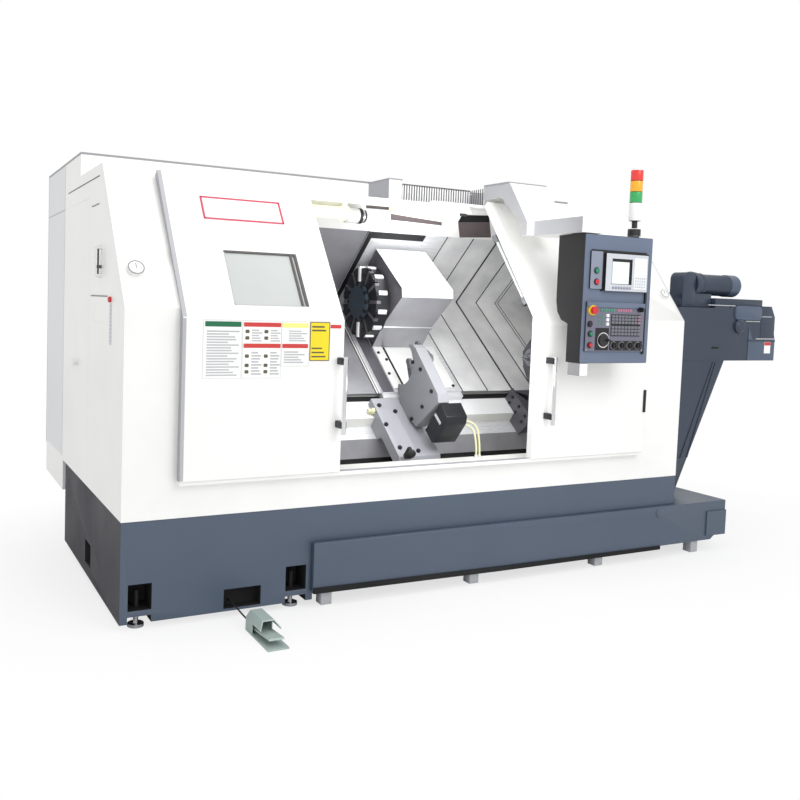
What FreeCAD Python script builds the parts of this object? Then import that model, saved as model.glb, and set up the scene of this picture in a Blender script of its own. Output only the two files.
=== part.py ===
"""Slant-bed turning lathe in its full guard, with sliding front doors, a hanging
control pendant, a turret, a steady rest, a tailstock, a coolant tank and a chip
conveyor.

Millimetres, +Z up.  The model is drawn in the machine frame: x from the left end of
the guard, y from the front face of the base going back, z from the floor.  At the
end everything moves so that the origin is under the middle of the whole product.
"""
import FreeCAD, Part
import math
import os

Vec = FreeCAD.Vector

# ---------------------------------------------------------------- driving sizes
# guard and base
GUARD_LENGTH = 3440.0
BASE_DEPTH = 1450.0
BASE_TOP = 500.0
BASE_BOTTOM = 32.0
BASE_LEFT_BLOCK = 955.0        # right end of the block left of the tank
SHEET = 4.0                    # guard sheet
SILL_TOP = 668.0               # top of the apron under the doors
ROOF_HEIGHT = 2150.0
BEND_HEIGHT = ROOF_HEIGHT - 690.0   # where the front starts to lean back
ROOF_FRONT = 518.0
REAR_BOX_FRONT = 1086.0
REAR_BOX_TOP = ROOF_HEIGHT + 130.0
CABINET_FRONT = 1545.0
CABINET_BACK = 2211.0
CABINET_BOTTOM = 318.0
OPENING_LEFT = 1020.0          # operator's opening in the front sheet
OPENING_RIGHT = GUARD_LENGTH - 1150.0
OPENING_TOP = ROOF_HEIGHT - 100.0
TRAY_DEPTH = 50.0              # the roof lies lower above the opening
TRAY_FLOOR = ROOF_HEIGHT - TRAY_DEPTH
CEILING_DROP = 190.0           # the inner ceiling ends this far below the covers' top, along them
CEILING_BACK = 176.0           # depth of the inner ceiling, front to back
CEILING_GAP = 26.0             # inner ceiling above the fixed covers
PENDANT_WAY = 150.0            # width of the notch in the header at the opening's right end
RUN = 0.3                      # gap between pieces that move past each other

# doors
DOOR_OUT = 50.0                # outer face of the doors in front of the base face
DOOR_GAP = 8.0                 # doors run this far in front of the fixed sheets
DOOR_SHEET = 4.0
DOOR_EDGE = 30.0               # width of the returned edge
DOOR_BOTTOM = 676.0
DOOR_BEND = BEND_HEIGHT - 42.0
DOOR_TOP_Y = 444.0
DOOR_TOP_Z = ROOF_HEIGHT - 19.0
LEFT_DOOR = (249.0, 1060.0)
RIGHT_DOOR = (GUARD_LENGTH - 1190.0, GUARD_LENGTH - 345.0)
WINDOW = (507.0, 886.0)        # window, along the door
WINDOW_LOW = DOOR_BEND + 62.0
WINDOW_HIGH = DOOR_BEND + 319.0
HANDLE_RADIUS = 12.0
HANDLE_OUT = 60.0              # tube axis in front of the door face
HANDLE_LOW = DOOR_BEND - 549.0
HANDLE_HIGH = DOOR_BEND - 171.0
HANDLE_INSET = 20.0            # left tube from the left door's free edge
RIGHT_HANDLE_INSET = 88.0

# slanted bed and the plane of the sliding covers
SLANT = 40.0                   # slope of the bed, degrees
UPPER_SLANT = 42.5             # slope of the upper cover sheets
VERTEX_Y = 1250.0              # line where lower and upper covers meet
VERTEX_Z = 1535.0
AXIS_U = -819.0                # spindle axis, along the slope from the vertex
AXIS_V = 250.0                 # spindle axis, above the cover plane
BED_LEFT = 60.0
BED_RIGHT = GUARD_LENGTH - 150.0
COVER_END = -868.0             # lower end of the covers
COVER_HEADROOM = 14.4          # covers end this far under the roof's tray
COVER_UPPER = (TRAY_FLOOR - COVER_HEADROOM - VERTEX_Z) / math.sin(math.radians(UPPER_SLANT))
COVER_SHEET = 3.0
COVER_PITCH = COVER_SHEET + RUN
COVER_LAP = 98.0

# headstock, spindle, chuck
HEAD_RIGHT = 790.0
SPINDLE_RADIUS = 90.0
SPINDLE_BORE = 46.0
SPINDLE_FIT = 0.05
CHUCK_RADIUS = 190.0
CHUCK_THICK = 120.0
JAW_WIDTH = 42.0
JAW_SLOT = 12.0

# carriage, cross slide, turret
CARRIAGE = (1645.0, 2205.0)
CARRIAGE_TOP = 29.5
HOUSING = (1722.0, 2080.0)
DISC_RADIUS = 212.0
DISC_THICK = 88.0
DISC_U = -331.0
STATIONS = 12

# tailstock and steady rest
TAIL_BASE = (2555.0, 2980.0)
TAIL_BODY_LEFT = 2700.0
QUILL_RADIUS = 55.0
STEADY = (1722.0, 1792.0)
STEADY_CARRIER_LEFT = 1545.0

# coolant tank
TANK_TOP = 322.0
TANK_BOTTOM = 76.0
TANK_RIGHT = GUARD_LENGTH + 432.0
TANK_FRONT = -30.0
TANK_BACK = 690.0

# chip conveyor
CONVEYOR_FRONT = 200.0
CONVEYOR_WIDTH = 350.0
CONVEYOR_SHEET = 6.0
DRUM_RADIUS = 100.0

# pendant
PENDANT_X = (GUARD_LENGTH - 1093.0, GUARD_LENGTH - 607.0)
PENDANT_FRONT = -280.0
PENDANT_BACK = -80.0
PENDANT_BOTTOM = 1225.0
PENDANT_TOP = 1910.0
PENDANT_PIVOT = (PENDANT_X[0] + 53.0, -175.0)
PANEL_THICK = 12.0
COLLAR = 8.0                   # button collars in front of the panel
HOOD = (GUARD_LENGTH - 1165.0, GUARD_LENGTH - 890.0)
HOOD_BACK = 520.0
TRAY = (OPENING_LEFT + 20.0, HOOD[1] + 10.0)
ARM = (PENDANT_X[0] - 21.0, PENDANT_X[0] + 123.0)
CHAIN_BARS = 28


# ---------------------------------------------------------------- small helpers
def box(x, y, z):
    """Box between pairs of limits."""
    return Part.makeBox(x[1] - x[0], y[1] - y[0], z[1] - z[0], Vec(x[0], y[0], z[0]))


def prism_x(points, x):
    """Side profile, points are (y, z), drawn out along X."""
    wire = Part.makePolygon([Vec(x[0], p[0], p[1]) for p in points + points[:1]])
    return Part.Face(wire).extrude(Vec(x[1] - x[0], 0, 0))


def prism_y(points, y):
    """Front profile, points are (x, z), drawn out along Y."""
    wire = Part.makePolygon([Vec(p[0], y[0], p[1]) for p in points + points[:1]])
    return Part.Face(wire).extrude(Vec(0, y[1] - y[0], 0))


def rod(start, direction, radius, length):
    """Round bar."""
    return Part.makeCylinder(radius, length, Vec(*start), Vec(*direction))


def ring(start, direction, outer, inner, length):
    """Tube or collar."""
    return rod(start, direction, outer, length).cut(rod(start, direction, inner, length))


def many_sided(start, direction, radius, length, sides=12):
    """Bar with flat sides; its corners lie on the given radius."""
    axis = Vec(*direction).normalize()
    side = axis.cross(Vec(0, 0, 1) if abs(axis.z) < 0.9 else Vec(1, 0, 0)).normalize()
    other = axis.cross(side)
    corners = []
    for k in range(sides):
        turn = 2 * math.pi * (k + 0.5) / sides
        corners.append(Vec(*start) + side * (radius * math.cos(turn)) + other * (radius * math.sin(turn)))
    return Part.Face(Part.makePolygon(corners + corners[:1])).extrude(axis * length)


def stacked(steps, start, direction, sides=16):
    """Flat-sided pieces of different radius along one axis; steps are (from, to, radius)."""
    axis = Vec(*direction).normalize()
    pieces = []
    for low, high, radius in steps:
        pieces.append(many_sided(Vec(*start) + axis * low, direction, radius, high - low, sides))
    return fused(pieces)


def turned_x(profile, y, z):
    """Turned piece on an axis along X; profile points are (x, radius)."""
    wire = Part.makePolygon([Vec(p[0], y, z + p[1]) for p in profile + profile[:1]])
    return Part.Face(wire).revolve(Vec(0, y, z), Vec(1, 0, 0), 360)


def fused(solids):
    """One solid out of touching or crossing ones."""
    whole = solids[0]
    if len(solids) > 1:
        whole = whole.multiFuse(solids[1:])
    return whole.removeSplitter()


def crossing(p, d, q, e):
    """Where the line from p along d meets the line from q along e, in (y, z)."""
    det = d[0] * -e[1] + e[0] * d[1]
    t = ((q[0] - p[0]) * -e[1] + e[0] * (q[1] - p[1])) / det
    return (p[0] + t * d[0], p[1] + t * d[1])


def unit(p, q):
    """Direction from p to q in a profile plane."""
    size = math.hypot(q[0] - p[0], q[1] - p[1])
    return ((q[0] - p[0]) / size, (q[1] - p[1]) / size)


def shifted(points, distance):
    """Open profile line moved to its left-hand side by a distance."""
    moved = []
    for k, point in enumerate(points):
        before = unit(points[k - 1], point) if k > 0 else None
        after = unit(point, points[k + 1]) if k < len(points) - 1 else None
        first = before or after
        second = after or before
        p = (point[0] - first[1] * distance, point[1] + first[0] * distance)
        q = (point[0] - second[1] * distance, point[1] + second[0] * distance)
        straight = abs(first[0] * second[1] - first[1] * second[0]) < 1e-6
        moved.append(p if straight else crossing(p, first, q, second))
    return moved


def sheet_x(points, thickness, x):
    """Bent sheet: an open profile line given a thickness to its left, along X."""
    return prism_x(points + shifted(points, thickness)[::-1], x)


# ---------------------------------------------------------------- slanted frame
COS = math.cos(math.radians(SLANT))
SIN = math.sin(math.radians(SLANT))


def slope(u, v):
    """(y, z) of a place u along the slope from the vertex and v above it."""
    return (VERTEX_Y + u * COS - v * SIN, VERTEX_Z + u * SIN + v * COS)


def slant_prism(points, x):
    """Profile given in (u, v), drawn out along X."""
    return prism_x([slope(*p) for p in points], x)


def slant_box(x, u, v):
    """Box that lies on the slope."""
    return slant_prism([(u[0], v[0]), (u[1], v[0]), (u[1], v[1]), (u[0], v[1])], x)


ALONG_V = (0, -SIN, COS)
AXIS_Y, AXIS_Z = slope(AXIS_U, AXIS_V)


def cover_line(offset, lower_end=COVER_END, upper=COVER_UPPER):
    """The bent line of a cover, offset toward the operator: three (y, z) points."""
    tilt = math.radians(UPPER_SLANT)
    up = (-math.cos(tilt), math.sin(tilt))
    inward = (-math.sin(tilt), -math.cos(tilt))
    low = slope(lower_end, offset)
    start = (VERTEX_Y + inward[0] * offset, VERTEX_Z + inward[1] * offset)
    corner = crossing(low, (COS, SIN), start, up)
    high = (start[0] + up[0] * upper, start[1] + up[1] * upper)
    return [low, corner, high]


def cover(x, layer):
    """One bent cover sheet; layer 0 is fixed, higher ones slide over it."""
    inner = cover_line(layer * COVER_PITCH)
    outer = cover_line(layer * COVER_PITCH + COVER_SHEET)
    return prism_x(inner + outer[::-1], x)


PARTS = {}

# ---------------------------------------------------------------- base and feet
FAR_FOOT = GUARD_LENGTH - 90
BACK_FOOT = BASE_DEPTH - 65
FOOT_PLACES = [(90, 65), (863, 65), (65, 740), (90, BACK_FOOT), (GUARD_LENGTH / 2, BACK_FOOT),
               (FAR_FOOT, BACK_FOOT), (FAR_FOOT, TANK_BACK + 75)]
FOOT_SCREW = 12.0
FOOT_HOLE = 175.0
FOOT_SEAT = 64.0               # the base stands on the nuts in a notch over each foot
NOTCH = 54.0
NUT_SEAT = 92.0
tunnel = box((BASE_LEFT_BLOCK, GUARD_LENGTH), (0, TANK_BACK + 10), (BASE_BOTTOM, TANK_TOP))
TROUGH_LEFT = GUARD_LENGTH - 930
TROUGH_TOP = 470.0
trough_way = box((TROUGH_LEFT - 10, GUARD_LENGTH), (CONVEYOR_FRONT - 10, CONVEYOR_FRONT + CONVEYOR_WIDTH + 10),
                 (TANK_TOP, TROUGH_TOP + 10))
base = box((0, GUARD_LENGTH), (0, BASE_DEPTH), (BASE_BOTTOM, BASE_TOP))
base = base.cut(tunnel).cut(trough_way)
base = base.cut(box((492, 678), (0, 60), (BASE_BOTTOM + 14, 138)))
for x, y in FOOT_PLACES:
    base = base.cut(many_sided((x, y, BASE_BOTTOM), (0, 0, 1), FOOT_SCREW + RUN, FOOT_HOLE - BASE_BOTTOM, 8))
    base = base.cut(box((x - NOTCH, x + NOTCH), (y - 65, y + NOTCH), (BASE_BOTTOM, FOOT_SEAT)))
for x in (37, 809):
    base = base.cut(box((x, x + 108), (0, 120), (NUT_SEAT, 212)))
base = base.cut(box((0, 120), (667, 813), (NUT_SEAT, 212)))
PARTS["base_plinth"] = base

feet = []
for x, y in FOOT_PLACES:
    pad = many_sided((x, y, 0), (0, 0, 1), 38, 14, 16)
    screw = many_sided((x, y, 10), (0, 0, 1), FOOT_SCREW, FOOT_HOLE - 15, 8)
    nut = many_sided((x, y, FOOT_SEAT - 18), (0, 0, 1), 22, 18, 6)
    feet.append(fused([pad, screw, nut]))
PARTS["levelling_feet"] = Part.makeCompound(feet)

# ---------------------------------------------------------------- coolant tank
tank = box((BASE_LEFT_BLOCK - 11, TANK_RIGHT), (TANK_FRONT, TANK_BACK), (TANK_BOTTOM, TANK_TOP))
tank = tank.cut(box((BASE_LEFT_BLOCK - 12, BASE_LEFT_BLOCK + RUN), (-1, TANK_BACK + 1), (0, 400)))
step = prism_y([(TANK_RIGHT, TANK_BOTTOM), (TANK_RIGHT, TANK_BOTTOM + 90),
                (TANK_RIGHT - 122, TANK_BOTTOM)], (TANK_FRONT, TANK_BACK))
tank = tank.cut(step)
skids = [tank]
for x in (BASE_LEFT_BLOCK + 45, BASE_LEFT_BLOCK + 945, TANK_RIGHT - 1072, TANK_RIGHT - 272):
    for y in (TANK_FRONT + 20, TANK_BACK - 80):
        skids.append(box((x, x + 60), (y, y + 60), (0, TANK_BOTTOM)))
sight = stacked([(0, 8, 30)], (TANK_RIGHT - 588, TANK_FRONT, TANK_TOP - 37), (0, -1, 0))
PARTS["coolant_tank"] = fused(skids + [sight])

# ---------------------------------------------------------------- fixed guard
FRONT_LINE = [(0, BASE_TOP), (0, BEND_HEIGHT), (ROOF_FRONT, ROOF_HEIGHT)]
INSIDE = (SHEET, GUARD_LENGTH - SHEET)
front_inner = shifted(FRONT_LINE, -SHEET)
front = prism_x(FRONT_LINE + front_inner[::-1], INSIDE)
lean = unit(FRONT_LINE[1], FRONT_LINE[2])
opening = box((OPENING_LEFT, OPENING_RIGHT), (-60, 600), (SILL_TOP, OPENING_TOP))
front = front.cut(opening)
front = front.cut(box(TRAY, (-60, 600), (TRAY_FLOOR, ROOF_HEIGHT + 1)))
front = front.cut(box((OPENING_RIGHT - PENDANT_WAY, OPENING_RIGHT), (-60, 600), (OPENING_TOP - 1, TRAY_FLOOR + 1)))
gauges = []
for x, height, radius in ((74, BEND_HEIGHT + 163, 38), (GUARD_LENGTH - 72, BEND_HEIGHT + 153, 30)):
    foot = (height - BEND_HEIGHT) / lean[1] * lean[0]
    gauges.append(many_sided((x, foot, height), (0, -lean[1], lean[0]), radius, 22, 16))
DOOR_RAIL = box((LEFT_DOOR[0], RIGHT_DOOR[1]), (-DOOR_OUT + 10, 1), (SILL_TOP - 12, DOOR_BOTTOM - RUN))
PARTS["front_guard"] = fused([front, DOOR_RAIL] + gauges)

WALL = [(0, BASE_TOP), (0, BEND_HEIGHT), (ROOF_FRONT, ROOF_HEIGHT), (REAR_BOX_FRONT, ROOF_HEIGHT),
        (REAR_BOX_FRONT, REAR_BOX_TOP), (CABINET_FRONT, REAR_BOX_TOP), (CABINET_FRONT, BASE_TOP)]
left_wall = prism_x(WALL, (0, SHEET))
for y in (801.0,):
    left_wall = left_wall.cut(box((-1, 1.5), (y, y + 4), (BASE_TOP, 2000)))
left_wall = left_wall.cut(box((-1, 1.5), (801, CABINET_FRONT), (2003, 2007)))
for y0, y1, z in ((565, 759, 1955), (340, 763, 1500), (352, 661, 1368)):
    left_wall = left_wall.cut(box((-1, 1.5), (y0, y1), (z, z + 8)))
PULL_Y = 506.0
PULL = (1593.0, 1744.0)
pull = [box((-34, -26), (PULL_Y - 11, PULL_Y + 11), PULL)]
for z in (PULL[0], PULL[1] - 14):
    pull.append(box((-34, 0), (PULL_Y - 11, PULL_Y + 11), (z, z + 14)))
knob = stacked([(0, 16, 16), (16, 34, 25)], (0, 1119, 1128), (-1, 0, 0), 12)
PARTS["left_end_wall"] = fused([left_wall] + pull + [knob])
PARTS["right_end_wall"] = prism_x(WALL, (GUARD_LENGTH - SHEET, GUARD_LENGTH))

TOP_LINE = [(ROOF_FRONT + 6, ROOF_HEIGHT), (REAR_BOX_FRONT, ROOF_HEIGHT),
            (REAR_BOX_FRONT, REAR_BOX_TOP), (CABINET_FRONT, REAR_BOX_TOP)]
top = sheet_x(TOP_LINE, -SHEET, INSIDE)
top = top.cut(box(TRAY, (ROOF_FRONT, REAR_BOX_FRONT), (ROOF_HEIGHT - SHEET - 1, ROOF_HEIGHT + 1)))
TRAY_FRONT = (TRAY_FLOOR - BEND_HEIGHT) / lean[1] * lean[0] + 6
tray_end = [(TRAY_FRONT, TRAY_FLOOR - SHEET), (REAR_BOX_FRONT + SHEET, TRAY_FLOOR - SHEET),
            (REAR_BOX_FRONT + SHEET, ROOF_HEIGHT), (ROOF_FRONT + 6, ROOF_HEIGHT)]
tray = [box(TRAY, (TRAY_FRONT, REAR_BOX_FRONT + SHEET), (TRAY_FLOOR - SHEET, TRAY_FLOOR)),
        box(TRAY, (REAR_BOX_FRONT, REAR_BOX_FRONT + SHEET), (TRAY_FLOOR - SHEET, ROOF_HEIGHT)),
        prism_x(tray_end, (TRAY[0], TRAY[0] + SHEET)), prism_x(tray_end, (TRAY[1] - SHEET, TRAY[1]))]
ceiling_end = cover_line(CEILING_GAP, upper=COVER_UPPER - CEILING_DROP)[2]
ceiling = sheet_x([(ceiling_end[0] - CEILING_BACK, TRAY_FLOOR - SHEET), ceiling_end], SHEET, TRAY)
RAIL = (HOOD[0] - 385, TRAY[1] - SHEET)
RAIL_Y = (492.0, 512.0)
RAIL_HIGH = 14.0
rail = box(RAIL, RAIL_Y, (TRAY_FLOOR, TRAY_FLOOR + RAIL_HIGH))
PARTS["top_guard"] = fused([top, rail, ceiling] + tray)

# ---------------------------------------------------------------- electrical cabinet
BAY = (GUARD_LENGTH - 1140.0, GUARD_LENGTH - 340.0)
BAY_Z = (CABINET_BOTTOM + 182.0, REAR_BOX_TOP - 180.0)
HINGE_HEIGHTS = (BAY_Z[0] + 200.0, BAY_Z[1] - 300.0)
cabinet = box((0, GUARD_LENGTH), (CABINET_FRONT, CABINET_BACK), (CABINET_BOTTOM, REAR_BOX_TOP))
bay = box((BAY[0] + 20, BAY[1] - 20), (CABINET_BACK - 400, CABINET_BACK), (BAY_Z[0] + 20, BAY_Z[1] - 20))
cabinet = cabinet.cut(bay)
for x in (760, 1520, BAY[0] - 20):
    cabinet = cabinet.cut(box((x, x + 4), (CABINET_BACK - 2, CABINET_BACK), (CABINET_BOTTOM, REAR_BOX_TOP)))
plate = box((BAY[0] + 60, BAY[1] - 60), (CABINET_BACK - 401, CABINET_BACK - 380), (BAY_Z[0] + 60, BAY_Z[1] - 60))
HINGE_X = BAY[0] - 8
HINGE_Y = CABINET_BACK + 10
barrels = []
for z in HINGE_HEIGHTS:
    barrels.append(rod((HINGE_X, HINGE_Y, z), (0, 0, 1), 8, 60))
    barrels.append(box((HINGE_X - 8, HINGE_X), (CABINET_BACK, HINGE_Y), (z, z + 60)))
PARTS["electrical_cabinet"] = fused([cabinet, plate] + barrels)

door = box(BAY, (CABINET_BACK + RUN, CABINET_BACK + 20), BAY_Z)
door = door.cut(box((BAY[0] + 4, BAY[1] - 4), (CABINET_BACK, CABINET_BACK + 17), (BAY_Z[0] + 4, BAY_Z[1] - 4)))
latch = box((BAY[1] - 60, BAY[1] - 40), (CABINET_BACK + 20, CABINET_BACK + 32), (1240, 1380))
knuckles = []
for z in (HINGE_HEIGHTS[0] + 60 + RUN, HINGE_HEIGHTS[1] + 60 + RUN):
    knuckles.append(rod((HINGE_X, HINGE_Y, z), (0, 0, 1), 8, 30))
    knuckles.append(box((HINGE_X, BAY[0] + 4), (HINGE_Y - 4, HINGE_Y + 4), (z, z + 30)))
PARTS["cabinet_door"] = fused([door, latch] + knuckles)

# ---------------------------------------------------------------- sliding doors
DOOR_OUTER = [(-DOOR_OUT, DOOR_BOTTOM), (-DOOR_OUT, DOOR_BEND), (DOOR_TOP_Y, DOOR_TOP_Z)]
DOOR_LEAN = unit(DOOR_OUTER[1], DOOR_OUTER[2])
GUARD_CLEAR = shifted([(0, DOOR_BOTTOM), (0, BEND_HEIGHT), (ROOF_FRONT, ROOF_HEIGHT)], DOOR_GAP)


def door_pan(x):
    """Door leaf: a bent sheet with returned edges all round."""
    top_inner = (DOOR_TOP_Y + 14 * DOOR_LEAN[1], DOOR_TOP_Z - 14 * DOOR_LEAN[0])
    inner_top = crossing(top_inner, (DOOR_LEAN[1], -DOOR_LEAN[0]), GUARD_CLEAR[1], lean)
    block = prism_x(DOOR_OUTER + [inner_top, GUARD_CLEAR[1], GUARD_CLEAR[0]], x)
    skin = shifted(DOOR_OUTER, -DOOR_SHEET)
    low = (skin[0][0], skin[0][1] + DOOR_SHEET)
    high = (skin[2][0] - DOOR_LEAN[0] * DOOR_SHEET, skin[2][1] - DOOR_LEAN[1] * DOOR_SHEET)
    back_high = (high[0] + 200 * DOOR_LEAN[1], high[1] - 200 * DOOR_LEAN[0])
    pocket = [low, skin[1], high, back_high, (200, BEND_HEIGHT), (200, low[1])]
    return block.cut(prism_x(pocket, (x[0] + DOOR_EDGE, x[1] - DOOR_EDGE)))


def on_door(height, depth=0.0):
    """(y, z) on the leaning door face at a height, moved inward by a depth."""
    along = (height - DOOR_BEND) / DOOR_LEAN[1]
    return (-DOOR_OUT + along * DOOR_LEAN[0] + depth * DOOR_LEAN[1],
            height - depth * DOOR_LEAN[0])


def door_plate(x, heights, depths):
    """Plate that lies in the leaning part of a door, between two depths."""
    corners = [on_door(heights[0], depths[0]), on_door(heights[1], depths[0]),
               on_door(heights[1], depths[1]), on_door(heights[0], depths[1])]
    return prism_x(corners, x)


GLASS = 5.0
REBATE = 14.0
left_leaf = door_pan(LEFT_DOOR)
left_leaf = left_leaf.cut(door_plate(WINDOW, (WINDOW_LOW, WINDOW_HIGH), (-1, DOOR_SHEET + 1)))
FRAME_X = (WINDOW[0] - REBATE, WINDOW[1] + REBATE)
FRAME_Z = (WINDOW_LOW - REBATE, WINDOW_HIGH + REBATE)
window_frame = door_plate(FRAME_X, FRAME_Z, (DOOR_SHEET, DOOR_SHEET + GLASS + RUN))
window_frame = window_frame.cut(door_plate(WINDOW, (WINDOW_LOW, WINDOW_HIGH), (0, 60)))
PARTS["left_door"] = fused([left_leaf, window_frame])
PARTS["window_pane"] = door_plate((WINDOW[0] + RUN, WINDOW[1] - RUN),
                                  (WINDOW_LOW + RUN, WINDOW_HIGH - RUN), (DOOR_SHEET, DOOR_SHEET + GLASS))
right_leaf = door_pan(RIGHT_DOOR)
end_bar = box((RIGHT_DOOR[1] - 20, RIGHT_DOOR[1] - 5), (-DOOR_OUT - 8, -DOOR_OUT), (914, 1045))
PARTS["right_door"] = fused([right_leaf, end_bar])


def door_handle(x):
    """Upright tube on two standoffs in front of the door face."""
    y = -DOOR_OUT - HANDLE_OUT
    tube = many_sided((x, y, HANDLE_LOW), (0, 0, 1), HANDLE_RADIUS, HANDLE_HIGH - HANDLE_LOW, 16)
    pieces = [tube]
    for z in (HANDLE_LOW + 46, HANDLE_HIGH - 24):
        pieces.append(box((x - 13, x + 13), (y, -DOOR_OUT), (z - 15, z + 15)))
    return fused(pieces)


PARTS["left_handle"] = door_handle(LEFT_DOOR[1] - HANDLE_INSET)
PARTS["right_handle"] = door_handle(RIGHT_DOOR[0] + RIGHT_HANDLE_INSET)

# ---------------------------------------------------------------- bed
WAY_A = (-1034.0, COVER_END + 2)
WAY_A_V = -20.0
WAY_B = (-1130.0, -1039.0)
WAY_B_V = -87.0
UNDER = -35.0
WAY_B_FOOT = slope(WAY_B[0], WAY_B_V)
BED_LINE = [(WAY_B_FOOT[0], BASE_TOP), WAY_B_FOOT, slope(WAY_B[1], WAY_B_V), slope(WAY_A[0], WAY_A_V),
            slope(WAY_A[1], WAY_A_V), slope(WAY_A[1], UNDER), slope(-25, UNDER),
            (VERTEX_Y + 10, BASE_TOP)]
bed = prism_x(BED_LINE, (BED_LEFT, BED_RIGHT))
ledge = prism_x([(SHEET, BASE_TOP), (SHEET, SILL_TOP - 2), (60, SILL_TOP + 4), (110, SILL_TOP + 8),
                 (110, BASE_TOP + 60), (WAY_B_FOOT[0], BASE_TOP + 40), (WAY_B_FOOT[0], BASE_TOP)],
                (BED_LEFT, BED_RIGHT))
HOSE_SHIFTS = (0, 22)
FITTING_Y = 84.0
FITTING_TOP = 690.0
fittings = []
for shift in HOSE_SHIFTS:
    place = (STEADY[1] + 80 + 105 + shift, FITTING_Y, SILL_TOP)
    fittings.append(many_sided(place, (0, 0, 1), 9, FITTING_TOP - SILL_TOP, 6))
PARTS["bed_casting"] = fused([bed, ledge] + fittings)

# ---------------------------------------------------------------- headstock and spindle
head = slant_prism([(-1010, WAY_A_V), (-1010, 330), (-930, 430), (-680, 430), (-250, 150), (-200, UNDER),
                    (WAY_A[1], UNDER), (WAY_A[1], WAY_A_V)], (BED_LEFT, HEAD_RIGHT))
head = head.cut(rod((BED_LEFT, AXIS_Y, AXIS_Z), (1, 0, 0), SPINDLE_RADIUS + SPINDLE_FIT,
                    HEAD_RIGHT - BED_LEFT))
nose = ring((HEAD_RIGHT, AXIS_Y, AXIS_Z), (1, 0, 0), 150, SPINDLE_RADIUS + SPINDLE_FIT, 20)
PARTS["headstock"] = fused([head, nose])

FLANGE = (HEAD_RIGHT + 20 + RUN, HEAD_RIGHT + 42)
PARTS["spindle"] = turned_x([(20, SPINDLE_BORE), (20, 135), (BED_LEFT - RUN, 135),
                             (BED_LEFT - RUN, SPINDLE_RADIUS), (FLANGE[0], SPINDLE_RADIUS),
                             (FLANGE[0], 140), (FLANGE[1], 140), (FLANGE[1], SPINDLE_BORE)],
                            AXIS_Y, AXIS_Z)
CHUCK = (FLANGE[1], FLANGE[1] + CHUCK_THICK)
chuck = turned_x([(CHUCK[0], SPINDLE_BORE), (CHUCK[0], CHUCK_RADIUS), (CHUCK[1] - 8, CHUCK_RADIUS),
                  (CHUCK[1], CHUCK_RADIUS - 8), (CHUCK[1], SPINDLE_BORE)], AXIS_Y, AXIS_Z)


def round_spindle(solid, turn):
    """Turns a solid about the spindle axis."""
    copy = solid.copy()
    copy.rotate(Vec(0, AXIS_Y, AXIS_Z), Vec(1, 0, 0), turn)
    return copy


JAW_IN = 60.0
slot_block = box((CHUCK[1] - JAW_SLOT, CHUCK[1] + 1), (AXIS_Y - JAW_WIDTH / 2 - RUN, AXIS_Y + JAW_WIDTH / 2 + RUN),
                 (AXIS_Z, AXIS_Z + CHUCK_RADIUS + 10))
jaw_low = box((CHUCK[1] - JAW_SLOT + RUN, CHUCK[1] + 22), (AXIS_Y - JAW_WIDTH / 2, AXIS_Y + JAW_WIDTH / 2),
              (AXIS_Z + JAW_IN, AXIS_Z + CHUCK_RADIUS - 18))
jaw_step = box((CHUCK[1] + 22, CHUCK[1] + 50), (AXIS_Y - JAW_WIDTH / 2, AXIS_Y + JAW_WIDTH / 2),
               (AXIS_Z + JAW_IN + 34, AXIS_Z + CHUCK_RADIUS - 18))
jaw = fused([jaw_low, jaw_step])
for k in range(3):
    chuck = chuck.cut(round_spindle(slot_block, 120 * k))
    PARTS["jaw_%d" % (k + 1)] = round_spindle(jaw, 120 * k)
PARTS["chuck"] = chuck

# ---------------------------------------------------------------- covers
LEFT_FIXED = (950.0, 1440.0)
SEAMS = [CARRIAGE[1], 2409.0, 2604.0, 2780.0]
RIGHT_FIXED = (SEAMS[3], BED_RIGHT)
ends = []
for x, flange in ((LEFT_FIXED, LEFT_FIXED[0]), (RIGHT_FIXED, RIGHT_FIXED[1] - COVER_SHEET)):
    sheet = cover(x, 0)
    web = slant_box((flange, flange + COVER_SHEET), (COVER_END + 8, -40), (UNDER, COVER_SHEET))
    ends.append(fused([sheet, web]))
PARTS["end_covers"] = Part.makeCompound(ends)
PARTS["left_cover"] = cover((1140, CARRIAGE[0] + 295), 1)
PARTS["right_cover_1"] = cover((CARRIAGE[1] - 105, SEAMS[1] + COVER_LAP), 3)
PARTS["right_cover_2"] = cover((SEAMS[1], SEAMS[2] + COVER_LAP), 2)
PARTS["right_cover_3"] = cover((SEAMS[2], SEAMS[3] + COVER_LAP), 1)

# ---------------------------------------------------------------- carriage
SKIRT = 3 * COVER_PITCH + COVER_SHEET + RUN
inner_line = cover_line(SKIRT)
outer_line = cover_line(SKIRT + 6)
shield = prism_x(inner_line + outer_line[::-1], CARRIAGE)
deck = slant_box(CARRIAGE, (COVER_END - 14, -150), (SKIRT, CARRIAGE_TOP))
shoe = slant_box(CARRIAGE, (COVER_END - 44, COVER_END - RUN), (WAY_A_V + RUN, 14))
shoe_web = slant_box(CARRIAGE, (COVER_END - 14, COVER_END - RUN), (WAY_A_V + RUN, CARRIAGE_TOP))
strips = []
for x in ((CARRIAGE[0] + 80, CARRIAGE[0] + 146), (CARRIAGE[1] - 165, CARRIAGE[1] - 40)):
    strips.append(slant_box(x, (COVER_END + 8, -500), (CARRIAGE_TOP, CARRIAGE_TOP + 8)))
left_lip = slant_box((CARRIAGE[0], CARRIAGE[0] + 4), (COVER_END, -60),
                     (COVER_PITCH + COVER_SHEET + RUN, SKIRT))
PARTS["carriage"] = fused([shield, deck, shoe, shoe_web, left_lip] + strips)

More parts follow.
